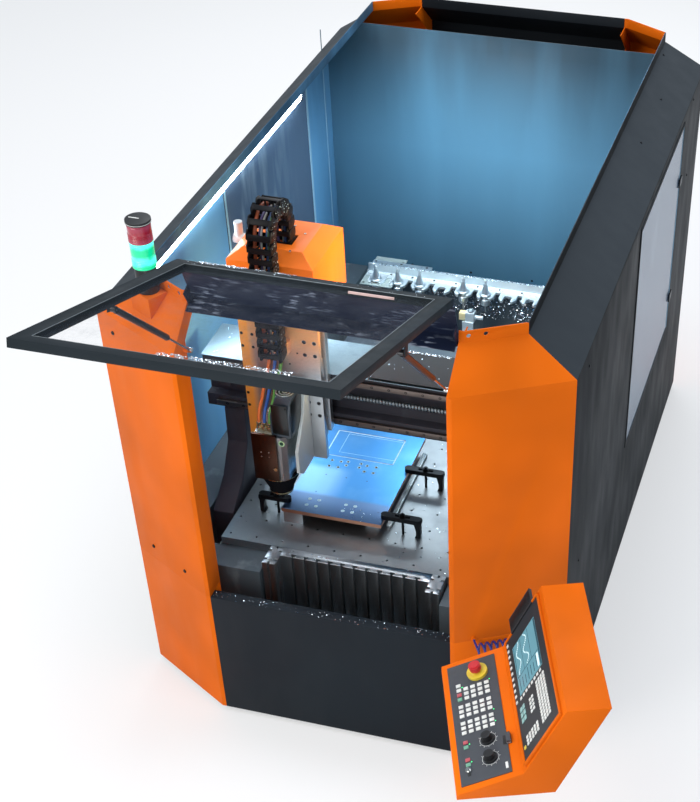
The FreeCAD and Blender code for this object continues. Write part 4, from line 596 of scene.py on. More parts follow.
# Diffusers: the strip that lights the working space, the screen's picture and the key lights.
LIGHT_STRIP = Glow("cold_white_diffuser", "#EAF6FF", 0.5, strength=30.0)
SCREEN_GLOW = Glow("screen_picture_field", "#5F8C98", 0.2, strength=0.35)
SCREEN_DARK = Glow("screen_picture_lines", "#2C4A55", 0.2, strength=0.3)
SCREEN_PALE = Glow("screen_picture_pale", "#C6DDE0", 0.2, strength=0.6)
GREEN_DOT = Glow("green_key_light", "#3BE07C", 0.3, strength=1.6)
# Fresh chips: small bright facets.
CHIP_METAL = Metal("aluminium_swarf", "#DDE6EC", 0.22, pitch_mm=0.5, stain=0.05)
# Bores that no light reaches, small caps and rims, and bare cut edges that look frosted.
HOLE_DARK = Moulded("unlit_bore", "#0B0C0E", 0.7)
DARK_GREEN = Moulded("dark_green_cap", "#12472E", 0.4)
FROST = Moulded("freshly_cut_rim", "#D2EEFC", 0.35, depth_mm=0.005)
DOT_RIM = Moulded("pale_green_rim", "#B9E6B0", 0.4)
CAP_CREAM = Moulded("cream_end_cap", "#E8D6A0", 0.4)
PAD_PINK = Moulded("pale_edge_pad", "#C9A9A4", 0.5)
# Hardened holder cones: satin, so that they read silver and not as mirrors.
HOLDER = Metal("satin_hardened_steel", "#E6ECEE", 0.38, pitch_mm=0.8, depth_mm=0.005, stain=0.05, spread=0.4)
# Plated brass fittings: warm, with soft highlights.
BRASS = Metal("brass_and_nickel_fitting", "#D9C9A0", 0.25, pitch_mm=0.6, depth_mm=0.005, stain=0.05, spread=0.5)


# ---- form helpers -------------------------------------------------------------------

def new_object(name: str, data: bpy.types.ID) -> bpy.types.Object:
    """Put a mesh, a curve, a lamp or a camera into the scene, at the origin."""
    made = bpy.data.objects.new(name, data)
    bpy.context.scene.collection.objects.link(made)
    return made


class Form:
    """A mesh in the making, in millimetres of the machine's frame."""

    def __init__(self, name: str) -> None:
        """Start an empty form.

        Args:
            name: the piece's name.
        """
        self.name = name
        self.mesh = bmesh.new()

    def block(self, low: Point, high: Point, bevel: float = 0.0, at: Matrix | None = None) -> "Form":
        """Add a block with broken edges.

        Args:
            low: its lowest corner.
            high: its highest corner.
            bevel: the width of its edges' chamfer.
            at: a placement for it, after it is made.

        Returns:
            The form.
        """
        size = [max(abs(h - l), 1e-3) for l, h in zip(low, high)]
        middle = Vector((l + h) / 2 for l, h in zip(low, high))
        where = (at or Matrix.Identity(4)) @ Matrix.Translation(middle) @ Matrix.Diagonal((*size, 1.0))
        made = bmesh.ops.create_cube(self.mesh, size=1.0, matrix=where)
        if bevel:
            edges = list({edge for vert in made["verts"] for edge in vert.link_edges})
            bmesh.ops.bevel(self.mesh, geom=edges, offset=bevel, segments=2, profile=0.5,
                            affect="EDGES", material=-1)
        return self

    def bar(self, start: Point, end: Point, radius: float, end_radius: float | None = None,
            sides: int = 24) -> "Form":
        """Add a round or many-sided bar between two points.

        Args:
            start: the middle of its first end.
            end: the middle of its other end.
            radius: the radius at its start.
            end_radius: the radius at its end, if it tapers.
            sides: how many sides it has.

        Returns:
            The form.
        """
        first, last = Vector(start), Vector(end)
        run = last - first
        turn = run.to_track_quat("Z", "Y").to_matrix().to_4x4()
        where = Matrix.Translation((first + last) / 2) @ turn
        bmesh.ops.create_cone(self.mesh, cap_ends=True, segments=sides, radius1=radius,
                              radius2=radius if end_radius is None else end_radius,
                              depth=run.length, matrix=where)
        return self

    def turned(self, profile: Sequence[tuple[float, float]], at: Matrix, sides: int = 28) -> "Form":
        """Add a turned part: a profile spun once round its axis.

        Args:
            profile: (radius, height) pairs from the bottom up; a radius of 0 closes an end.
            at: the placement whose Z is the axis.
            sides: the number of steps.

        Returns:
            The form.
        """
        verts = [self.mesh.verts.new((radius, 0.0, height)) for radius, height in profile]
        edges = [self.mesh.edges.new(pair) for pair in zip(verts, verts[1:])]
        before = set(self.mesh.verts) - set(verts)
        bmesh.ops.spin(self.mesh, geom=verts + edges, cent=(0, 0, 0), axis=(0, 0, 1), dvec=(0, 0, 0),
                       angle=math.tau, steps=sides, use_merge=True, use_duplicate=False)
        made = [vert for vert in self.mesh.verts if vert not in before]
        bmesh.ops.remove_doubles(self.mesh, verts=made, dist=1e-3)
        made = [vert for vert in self.mesh.verts if vert not in before]
        faces = list({face for vert in made for face in vert.link_faces})
        bmesh.ops.recalc_face_normals(self.mesh, faces=faces)
        bmesh.ops.transform(self.mesh, matrix=at, verts=made)
        return self

    def prism(self, outline: Sequence[Point], depth: Point, at: Matrix | None = None, bevel: float = 0.0) -> "Form":
        """Add a flat outline drawn out along a direction.

        Args:
            outline: the corners in order.
            depth: the way it is drawn out.
            at: a placement for it.
            bevel: the width of its edges' chamfer.

        Returns:
            The form.
        """
        verts = [self.mesh.verts.new(corner) for corner in outline]
        face = self.mesh.faces.new(verts)
        drawn = bmesh.ops.extrude_face_region(self.mesh, geom=[face])["geom"]
        moved = [item for item in drawn if isinstance(item, bmesh.types.BMVert)]
        bmesh.ops.translate(self.mesh, verts=moved, vec=depth)
        every = verts + moved
        faces = list({face for vert in every for face in vert.link_faces})
        bmesh.ops.recalc_face_normals(self.mesh, faces=faces)
        if at is not None:
            bmesh.ops.transform(self.mesh, matrix=at, verts=every)
        if bevel:
            edges = list({edge for vert in every for edge in vert.link_edges})
            bmesh.ops.bevel(self.mesh, geom=edges, offset=bevel, segments=2, profile=0.5,
                            affect="EDGES", material=-1)
        return self

    def ring(self, at: Matrix, outer: float, inner: float, height: float, sides: int = 16) -> "Form":
        """Add a washer.

        Args:
            at: the placement of its underside's middle, Z up its axis.
            outer: the outer radius.
            inner: the inner radius.
            height: its thickness.
            sides: how many sides it has.

        Returns:
            The form.
        """
        return self.turned([(inner, 0), (outer, 0), (outer, height), (inner, height), (inner, 0)], at, sides)

    def stamp(self, other: "Form", places: Iterable[Matrix]) -> "Form":
        """Add copies of another form.

        Args:
            other: the form to copy.
            places: a placement for each copy.

        Returns:
            The form.
        """
        for place in places:
            copy = bpy.data.meshes.new("stamp")
            other.mesh.to_mesh(copy)
            copy.transform(place)
            self.mesh.from_mesh(copy)
            bpy.data.meshes.remove(copy)
        return self

    def slotted(self, start: Point, end: Point, radius: float, slot: tuple[float, float, float],
                height: float) -> "Form":
        """Add a level strap with round ends and one long slot.

        Args:
            start: the middle of its first end's arc, on the underside.
            end: the middle of its other end's arc.
            radius: the half width.
            slot: where the slot starts and ends along the strap, and its half width.
            height: the thickness.

        Returns:
            The form.
        """
        first, run = Vector(start), Vector(end) - Vector(start)
        place = Matrix.Translation(first) @ run.to_track_quat("X", "Z").to_matrix().to_4x4()
        loops = []
        for low, high, half in ((0.0, run.length, radius), slot):
            turns = [math.radians(90 + 22.5 * step) for step in range(9)]
            ring = [(low + half * math.cos(turn), half * math.sin(turn), 0) for turn in turns]
            ring += [(high - half * math.cos(turn), -half * math.sin(turn), 0) for turn in turns]
            verts = [self.mesh.verts.new(point) for point in ring]
            loops += [self.mesh.edges.new(pair) for pair in zip(verts, verts[1:] + verts[:1])]
        flat = bmesh.ops.bridge_loops(self.mesh, edges=loops)["faces"]
        raised = bmesh.ops.extrude_face_region(self.mesh, geom=flat, use_keep_orig=True)["geom"]
        moved = [item for item in raised if isinstance(item, bmesh.types.BMVert)]
        bmesh.ops.translate(self.mesh, verts=moved, vec=(0, 0, height))
        every = list({vert for edge in loops for vert in edge.verts} | set(moved))
        faces = list({face for vert in every for face in vert.link_faces})
        bmesh.ops.recalc_face_normals(self.mesh, faces=faces)
        bmesh.ops.transform(self.mesh, matrix=place, verts=every)
        return self

    def scatter(self, count: int, spot: Callable[[], tuple[Vector, Matrix]], size: tuple[float, float]) -> "Form":
        """Strew small bent flakes.

        Args:
            count: how many.
            spot: gives a place and the turn of the surface there.
            size: the shortest and longest flake.

        Returns:
            The form.
        """
        for _ in range(count):
            where, lie = spot()
            long = random.uniform(*size)
            wide = long * random.uniform(0.25, 0.5)
            turn = Matrix.Rotation(random.uniform(0, math.tau), 4, "Z") @ Matrix.Rotation(
                random.uniform(-0.5, 0.5), 4, "Y")
            at = Matrix.Translation(where) @ lie @ turn @ Matrix.Diagonal((long, wide, 1, 1))
            made = bmesh.ops.create_grid(self.mesh, x_segments=2, y_segments=1, size=0.5)["verts"]
            for vert in made:
                vert.co.z = 0.5 + long * (0.22 if abs(vert.co.x) < 0.1 else 0.0)
            bmesh.ops.transform(self.mesh, matrix=at, verts=made)
        return self

    def loose(self, finish: Finish, slot: str, smooth_deg: float = 35.0) -> bpy.types.Object:
        """Turn the form into an object that follows no body yet.

        Args:
            finish: its finish.
            slot: the record's material slot; not used.
            smooth_deg: edges flatter than this are shaded smooth.

        Returns:
            The new object.
        """
        mesh = bpy.data.meshes.new(self.name)
        self.mesh.to_mesh(mesh)
        self.mesh.free()
        mesh.transform(Matrix.Scale(MM, 4))
        mesh.materials.append(finish.material())
        mesh.shade_smooth()
        mesh.set_sharp_from_angle(angle=math.radians(smooth_deg))
        made = new_object(self.name, mesh)
        log.info("%s: %d faces", self.name, len(mesh.polygons))
        return made

    def piece(self, body: str, finish: Finish, slot: str, smooth_deg: float = 35.0,
              replaces: Sequence[str] = ()) -> bpy.types.Object:
        """Turn the form into a piece of the scene.

        Args:
            body: the CAD body that it rides on.
            finish: its finish.
            slot: the record's material slot; passed on to loose, which does not use it.
            smooth_deg: edges flatter than this are shaded smooth.
            replaces: the CAD nodes that it stands for.

        Returns:
            The new object.
        """
        made = self.loose(finish, slot, smooth_deg)
        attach(made, body)
        if replaces:
            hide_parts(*replaces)
        return made


def placed(at: Point, turn: Matrix | None = None) -> Matrix:
    """A placement from a point and, if given, a turn."""
    return Matrix.Translation(Vector(at)) @ (turn or Matrix.Identity(4))


def facing(direction: Point) -> Matrix:
    """The turn that points Z along a direction."""
    return Vector(direction).to_track_quat("Z", "Y").to_matrix().to_4x4()


def screw_form(radius: float, height: float, socket: float) -> Form:
    """A cap screw's head with its hex socket.

    Args:
        radius: the head's radius.
        height: its height.
        socket: the socket's radius.

    Returns:
        The head, standing on its origin along Z.
    """
    head = Form("screw_head")
    head.turned([(0, 0), (radius, 0), (radius, height * 0.75), (radius * 0.86, height),
                 (socket, height), (socket, height * 0.45), (0, height * 0.45)], Matrix.Identity(4), 12)
    return head


class Softening(Enum):
    """How wide an edge's rounding is, in millimetres."""

    SHEET = 1.2
    MACHINED = 0.8
    CAST = 4.0
    HOUSING = 3.5


def soften(frame: dict, node: str, finish: Finish, slot: str, edge: Softening) -> bpy.types.Object:
    """Stand in for a CAD node with its own form and rounded edges, which catch the light.

    Args:
        frame: the loaded frame.
        node: the CAD node.
        finish: the finish.
        slot: the record's material slot; not used.
        edge: how its edges are rounded.

    Returns:
        The new object, which replaces the node.
    """
    source = frame["nodes"][node]
    work = bmesh.new()
    work.from_mesh(source.data)
    bmesh.ops.remove_doubles(work, verts=work.verts, dist=1e-5)
    bmesh.ops.dissolve_limit(work, angle_limit=math.radians(1.0), verts=work.verts, edges=work.edges)
    mesh = bpy.data.meshes.new(node + "_form")
    work.to_mesh(mesh)
    work.free()
    mesh.materials.clear()
    mesh.materials.append(finish.material())
    mesh.shade_smooth()
    made = new_object(node + "_form", mesh)
    bevel = made.modifiers.new("edges", "BEVEL")
    bevel.width = edge.value * MM
    bevel.segments = 2
    bevel.limit_method = "ANGLE"
    bevel.angle_limit = math.radians(25)
    bevel.harden_normals = True
    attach(made, source["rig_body"])
    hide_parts(node)
    log.info("%s: softened by %.1f mm", node, edge.value)
    return made


def soften_all(frame: dict, rows: Iterable[tuple[str, Finish, str, Softening]]) -> None:
    """Soften a list of nodes.

    Args:
        frame: the loaded frame.
        rows: each node with its finish, its slot and its edges' rounding.
    """
    for row in rows:
        soften(frame, *row)


def paint_all(frame: dict, finishes: dict[str, Finish]) -> None:
    """Give CAD nodes that keep their own mesh a finish.

    Args:
        frame: the loaded frame.
        finishes: the finish of each node.
    """
    for node, finish in finishes.items():
        target = frame["nodes"][node]
        target.data.materials.clear()
        target.data.materials.append(finish.material())


def level_spot(x: tuple[float, float], y: tuple[float, float], z: float) -> Callable[[], tuple[Vector, Matrix]]:
    """A picker of places on a level rectangle.

    Args:
        x: its range along X.
        y: its range along Y.
        z: its height.

    Returns:
        A function that gives a random place and the surface's turn.
    """
    return lambda: (Vector((random.uniform(*x), random.uniform(*y), z)), Matrix.Identity(4))


def screw_row(form: Form, places: Iterable[Point], direction: Point, radius: float, height: float) -> None:
    """Set cap screws at points, all along one direction.

    Args:
        form: the form that gets them.
        places: where they stand.
        direction: the way that they point.
        radius: the heads' radius.
        height: the heads' height.
    """
    head = screw_form(radius, height, radius * 0.5)
    form.stamp(head, [placed(place, facing(direction)) for place in places])
    head.mesh.free()


def cord_curve(name: str, points: Sequence[Point], radius: float) -> bpy.types.Object:
    """A round cord on one smooth open spline.

    Args:
        name: the piece's name.
        points: its control points in millimetres.
        radius: its radius in millimetres.

    Returns:
        The curve object.
    """
    data = bpy.data.curves.new(name, "CURVE")
    data.dimensions = "3D"
    data.bevel_depth = radius * MM
    data.bevel_resolution = 4
    data.resolution_u = 6
    data.use_fill_caps = True
    spline = data.splines.new("NURBS")
    spline.points.add(len(points) - 1)
    for control, place in zip(spline.points, points):
        control.co = (*[value * MM for value in place], 1.0)
    spline.order_u = 3
    spline.use_endpoint_u = True
    return new_object(name, data)


# ---- the machine's sub-assemblies ---------------------------------------------------

@dataclass
class Enclosure:
    """The sheet housing: pillars, walls, windows, apron, and what is screwed to them."""

    half_width: float = 790.0
    half_depth: float = 1390.0
    corner_start: float = 452.0
    corner_depth: float = 195.0
    clip_size: float = 34.0
    fold_level: float = 1556.0
    fold_run: tuple[float, float] = (108.0, 164.0)

    def build(self, frame: dict) -> None:
        """Dress the nodes and add the fasteners.

        Args:
            frame: the loaded frame.
        """
        corner_sheets = ("front_pillar_left", "front_pillar_right", "lower_corner_panels", "rear_pillars")
        soften_all(frame, [(node, ORANGE, "orange_paint", Softening.SHEET) for node in corner_sheets] + [
            ("side_wall_left", ANTHRACITE, "anthracite_paint", Softening.SHEET),
            ("side_wall_right", ANTHRACITE, "anthracite_paint", Softening.SHEET),
            ("rear_panel", REAR_COAT, "anthracite_paint", Softening.SHEET),
            ("front_apron", APRON, "anthracite_paint", Softening.SHEET),
            ("inner_back_wall", INNER_WALL, "inner_paint", Softening.SHEET),
            ("base_frame", CASTING, "inner_paint", Softening.CAST),
            ("window_seals", SEAL, "black_rubber", Softening.MACHINED),
        ])
        paint_all(frame, {"levelling_feet": BLACK_STEEL, "side_windows": CLEAR_WINDOW})
        self.clips()
        self.fasteners()

    def fasteners(self) -> None:
        """Button screws on the left front pillar, and small dark ones on the right wall and band."""
        slope = self.corner_depth / (self.half_width - self.corner_start)
        form = Form("pillar_screws")
        for x, z in ((-721.5, 1495.6), (-706.1, 621.9), (-548.2, 615.1)):
            y = -self.half_depth + (-x - self.corner_start) * slope
            screw_row(form, [(x, y, z)], (-slope, -1, 0), 7.0, 3.5)
        form.piece("machine_frame", BLACK_STEEL, "steel")
        form = Form("wall_screws")
        spots = ((933.5, 1530), (942, 1201.8), (-1010, 1490), (-1010, 700))
        screw_row(form, [(self.half_width, y, z) for y, z in spots], (1, 0, 0), 5.0, 2.5)
        for y, x in ((1036.8, 640.1), (698.7, 694.1), (303.1, 692.0)):
            rise, inward = self.fold_run
            z = self.fold_level + (self.half_width - x) * rise / inward
            screw_row(form, [(x, y, z)], (rise, 0, inward), 4.5, 2.2)
        form.piece("machine_frame", BLACK_STEEL, "steel")

    def clips(self) -> None:
        """The small hold-down clips on the right window's rear edge, and the left wall's standing fold."""
        form = Form("window_clips")
        for level in (740.0, 1260.0):
            form.block((self.half_width + 2, 700, level), (self.half_width + 8, 752, level + self.clip_size), 1.5)
        form.piece("machine_frame", BLACK_STEEL, "black_rubber")
        # The standing fold takes the seal finish: its pale inward face is a painted highlight along the fold.
        fold = Form("wall_fold")
        fold.block((-786.6, 937, 720), (-783.6, 942, 1646), 0.8)
        fold.piece("machine_frame", SEAL, "inner_paint")


@dataclass
class Door:
    """The lifting door: frame profiles, clear sheet, leaning panel, and its two gas struts."""

    open_deg: float = 107.2
    hinge_end_y: float = -1285.0
    hinge_end_z: float = 1831.9
    length: float = 984.6
    half_width: float = 431.0
    bar: float = 44.0

    def build(self, frame: dict) -> None:
        """Dress the door's nodes and add what lies on it.

        Args:
            frame: the loaded frame.
        """
        soften_all(frame, [("door_frame", DOOR_FRAME, "black_frame", Softening.MACHINED),
                           ("door_panel", DOOR_PANEL, "anthracite_paint", Softening.MACHINED)])
        paint_all(frame, {"door_glass": CLEAR_DOOR, "strut_cylinders": LACQUER, "strut_rods": CHROME})
        self.edge_line()
        self.swarf()

    def plane(self) -> Matrix:
        """The placement of the open door's upper face: X across, Y along it away from the hinge, Z off it."""
        lean = math.radians(self.open_deg - 90)
        along = Vector((0, -math.cos(lean), math.sin(lean)))
        off = Vector((0, math.sin(lean), math.cos(lean)))
        across = along.cross(off)
        turn = Matrix((across, along, off)).transposed().to_4x4()
        return placed((0, self.hinge_end_y, self.hinge_end_z)) @ turn

    def edge_line(self) -> None:
        """The bright bead that holds the sheet along the frame's inner edge, and the pad by the hinge."""
        form, plane = Form("door_bead"), self.plane()
        low, high, side = self.bar, self.length - self.bar, self.half_width - self.bar
        for x in (-side, side):
            form.block((x - 0.9, low, -1), (x + 0.9, high, 0.6), 0.3, plane)
        for along in (low, high):
            form.block((-side, along - 0.9, -1), (side, along + 0.9, 0.6), 0.3, plane)
        form.piece("door", GUIDE_STEEL, "aluminium")
        form = Form("door_pad")
        form.block((-284, 100, -3), (-146, 107, 4), 1.5, plane)
        form.piece("door", PAD_PINK, "white_plastic")

    def swarf(self) -> None:
        """Chips that lie on the frame's lower bar, on the sheet beside it and along the leaning panel."""
        plane = self.plane()
        lie = plane.to_quaternion().to_matrix().to_4x4()
        form = Form("door_swarf")

        def on_door(x: tuple[float, float], along: tuple[float, float]) -> Callable[[], tuple[Vector, Matrix]]:
            """A picker of places on the door's upper face, by the machine's own X."""
            return lambda: (plane @ Vector((-random.uniform(*x), random.uniform(*along), 0.2)), lie)

        form.scatter(190, on_door((-360, -205), (1, 12)), (4, 11))
        form.scatter(22, on_door((-178, -150), (1, 10)), (4, 9))
        form.scatter(40, on_door((-115, -50), (1, 10)), (4, 9))
        form.scatter(30, on_door((-400, 400), (4, 42)), (2, 5))
        form.scatter(260, on_door((-60, 285), (916, 942)), (3, 10))
        form.piece("door", CHIP_METAL, "aluminium")


@dataclass
class Interior:
    """What stands in the working space: table, clamping wall, guides, light strip, tool rack and the work."""

    fork_x: float = -465.0
    fork_pitch: float = 98.0
    fork_y: float = 584.0
    taken_forks: tuple[int, ...] = (0, 1, 2, 4, 5)
    table_top: float = 570.0
    work_top: float = 632.0
    work_x: float = -169.6
    rack_bed_top: float = 708.0
    rack_bed_front: float = 639.0
    back_wall: float = 1011.0
    strip_middle: tuple[float, float] = (-768.0, 1513.0)
    strip_bulge: tuple[float, float] = (9.0, 33.0)

    def build(self, frame: dict) -> None:
        """Dress the nodes and add the small parts.

        Args:
            frame: the loaded frame.
        """
        soften_all(frame, [
            ("clamping_wall", ALUMINIUM, "aluminium", Softening.MACHINED),
            ("y_guides", GUIDE_STEEL, "steel", Softening.MACHINED),
            ("tool_rack", RACK, "aluminium", Softening.MACHINED),
            ("risers", ALUMINIUM, "steel", Softening.MACHINED),
        ])
        paint_all(frame, {"machine_table": TABLE, "led_strip": LIGHT_STRIP, "workpiece": WORK})
        self.diffuser()
        self.holders()
        self.clamps()
        self.work_details()
        self.rack_details()
        self.swarf()

    def diffuser(self) -> None:
        """The light strip's bulging cover and its dark end caps."""
        middle_x, middle_z = self.strip_middle
        wide, high = self.strip_bulge
        turns = [math.radians(-90 + 22.5 * step) for step in range(9)]
        bulge = [(middle_x + wide * math.cos(turn), -976, middle_z + high * math.sin(turn)) for turn in turns]
        bulge += [(-785.5, -976, middle_z + high), (-785.5, -976, middle_z - high)]
        form = Form("strip_cover")
        form.prism(bulge, (0, 1592, 0))
        form.piece("machine_frame", LIGHT_STRIP, "screen", 50)
        form = Form("strip_ends")
        for y in (-984, 616):
            form.block((-786, y, 1478), (-758, y + 8, 1548), 2)
        form.piece("machine_frame", BLACK_PLASTIC, "black_plastic")

    def holders(self) -> None:
        """Tool holders in their forks: cutter, clamping nut, gripper groove, taper and pull stud."""
        profile = [(0, 638), (3.4, 638), (4, 640), (4, 666), (9, 674), (17, 674), (20, 677), (20, 701),
                   (17, 704), (13.5, 704), (13.5, 720.5), (22, 720.5), (25, 722), (25, 723.2), (22.5, 724.2),
                   (22.5, 725.4), (25, 726.4), (25, 728), (23.5, 729), (17, 729), (7.5, 774), (4, 775),
                   (4, 781), (6.8, 783), (6.8, 788), (4.5, 791), (0, 791)]
        nut_radius = 19.6
        form = Form("turned_holders")
        for fork in self.taken_forks:
            form.turned(profile, placed((self.fork_x + fork * self.fork_pitch, self.fork_y, 0)), 32)
            for step in range(8):
                turn = math.radians(45 * step)
                x = self.fork_x + fork * self.fork_pitch + nut_radius * math.cos(turn)
                y = self.fork_y + nut_radius * math.sin(turn)
                form.block((-2.2, -1.4, 678), (1.0, 1.4, 699), 0.5, placed((x, y, 0), Matrix.Rotation(turn, 4, "Z")))
        form.piece("machine_frame", HOLDER, "steel", 30, ("tool_holders",))

    def clamps(self) -> None:
        """Strap clamps: a slotted strap that hooks down to the table, with its stud, washer and hexagon nut."""
        form = Form("hooked_clamps")
        for y, tip, heel, screw in ((-881.0, -318.0, -444.0, -372.0), (-881.0, 29.0, 183.0, 111.0),
                                    (-590.0, 29.0, 183.0, 111.0)):
            way = 1 if heel > tip else -1
            start, end = (tip + 15 * way, y, 632.2), (heel - 15 * way, y, 632.2)
            middle = abs(screw - start[0])
            form.slotted(start, end, 14.6, (middle - 24, middle + 24, 6.0), 17.6)
            outline = [(0, 649.6), (-16, 649.6), (-24, 632.2), (-20, 622), (-15, 600), (-15, 584), (-20, 570.2),
                       (-2, 570.2), (0, 576), (0, 620), (4, 634), (3, 645)]
            form.prism([(heel + (x - 4) * way, y - 13, z) for x, z in outline], (0, 26, 0), bevel=0.8)
            form.bar((screw, y, 570.2), (screw, y, 665), 4.9)
            form.bar((screw, y, 649.9), (screw, y, 651.9), 11.5)
            form.bar((screw, y, 651.9), (screw, y, 660), 10.0, sides=6)
        form.piece("machine_frame", BLACK_STEEL, "black_frame", 30, ("strap_clamps",))

    def work_details(self) -> None:
        """Turned rims round the plate's bores, screws in the front eight, marked points and a scribed field."""
        rims, studs = Form("bore_rims"), Form("plate_screws")
        wide = [(self.work_x + side * across, y) for y in (-885, -848, -637, -600)
                for side in (-1, 1) for across in (88, 52)]
        near = [(self.work_x + side * 26, y) for y in (-618, -594) for side in (-1, 1)]
        for x, y in wide + near:
            rims.ring(placed((x, y, self.work_top - 0.2)), 7.2, 4.7, 0.5, 20)
        screw_row(studs, [(x, y, self.work_top - 1) for x, y in wide if y < -700], (0, 0, 1), 4.4, 4.0)
        rims.piece("machine_frame", FROST, "steel")
        studs.piece("machine_frame", FROST, "steel")
        marks = Form("plate_marks")
        for x, y in ((-250, -692), (-170, -692), (-88, -692), (-251, -801)):
            marks.bar((x, y, self.work_top - 0.5), (x, y, self.work_top + 0.15), 2.6, sides=14)
        marks.piece("machine_frame", HOLE_DARK, "black_plastic")
        field = Form("scribed_field")
        for x in (-250, -28):
            field.block((x - 0.7, -542, self.work_top - 0.3), (x + 0.7, -420, self.work_top + 0.12))
        for y in (-542, -420):
            field.block((-250, y - 0.7, self.work_top - 0.3), (-28, y + 0.7, self.work_top + 0.12))
        for low, high in (((-298, -571), (-293, -405)), ((-29, -571), (-24, -405)),
                          ((-298, -571), (-24, -566)), ((-298, -410), (-24, -405))):
            field.block((*low, self.work_top - 2.0), (*high, self.work_top - 1.2))
        field.piece("machine_frame", FROST, "steel")
        track = Form("grooved_strip")
        for low, high, top in ((41, 59, 578), (41, 46, 585), (54, 59, 585), (48.6, 51.4, 582)):
            track.block((low, -860, 569.5), (high, -400, top), 0.6)
        track.piece("machine_frame", RACK, "aluminium")

    def rack_details(self) -> None:
        """The setter's cap and dished disc, the sheet beside the rack, holes and the fork screws."""
        form = Form("setter_cap")
        form.block((-69, 496, 635), (-39, 526, 669), 3)
        form.piece("machine_frame", CAP_CREAM, "yellow_plastic")
        form = Form("setter_disc")
        form.turned([(0, 0), (13.6, 0), (13.6, 6), (12, 8.4), (8, 8.4), (6.5, 7), (0, 7)], placed((-20, 511, 675)), 28)
        form.piece("machine_frame", CHROME, "steel")
        sheet = Form("rack_sheet")
        sheet.block((-530, 545, 709), (-387, 792, 713.5), 0.8)
        sheet.piece("machine_frame", RACK_BASE, "grey_sheet")
        holes = Form("rack_holes")
        for x, y in ((-517, 560), (-399, 761)):
            holes.bar((x, y, 712.5), (x, y, 713.9), 5.5, sides=18)
        for x in (-520, -403, -286):
            for y in (682, 748):
                holes.bar((x, y, 713), (x, y, 714.4), 5.5, sides=18)
        for x, z in ((-437, 566), (-158, 567), (129, 567)):
            holes.bar((x, self.back_wall + 0.5, z), (x, self.back_wall - 0.8, z), 5.5, sides=16)
        holes.piece("machine_frame", HOLE_DARK, "black_plastic")
        screws = Form("rack_screws")
        between = [(self.fork_x + self.fork_pitch * (fork + 0.5), 641, 719.5) for fork in range(8)]
        screw_row(screws, between, (0, 0, 1), 5, 3)
        screws.piece("machine_frame", BLACK_STEEL, "steel")

    def clinging_spot(self) -> tuple[Vector, Matrix]:
        """A place on the rack bed's front face, where wet chips cling at every angle."""
        turn = facing((random.uniform(-0.6, 0.6), -1, random.uniform(0.0, 1.4)))
        face, top = self.rack_bed_front - 0.2, self.rack_bed_top - 2
        return Vector((random.uniform(-260, 495), face, random.uniform(575, top))), turn

    def swarf(self) -> None:
        """Milling chips, thickest behind and beside the plate, along the rack and on the front lip."""
        form = Form("swarf")
        for count, x, y, z, size in (
            (220, (60, 515), (-360, 480), self.table_top, (3, 9)),
            (110, (60, 515), (-1060, -400), self.table_top, (3, 8)),
            (50, (-515, -350), (-1060, 480), self.table_top, (3, 8)),
            (900, (-300, 495), (640, 728), self.rack_bed_top, (3, 11)),
            (40, (-525, -280), (668, 757), 714, (2, 5)),
            (160, (-520, 360), (622, 650), 720.6, (3, 8)),
            (420, (-520, 360), (650, 665), 754.4, (3, 8)),
            (120, (656, 780), (-1000, 900), 534, (3, 9)),
            (120, (-432, 432), (-1388, -1351), 565, (2, 6)),
            (40, (-120, 38), (-925, -860), self.work_top, (2, 6)),
            (50, (-278, 278), (-1113, -1074), self.table_top, (2, 7)),
        ):
            form.scatter(count, level_spot(x, y, z), size)
        form.scatter(900, self.clinging_spot, (4, 12))
        form.piece("machine_frame", CHIP_METAL, "aluminium")


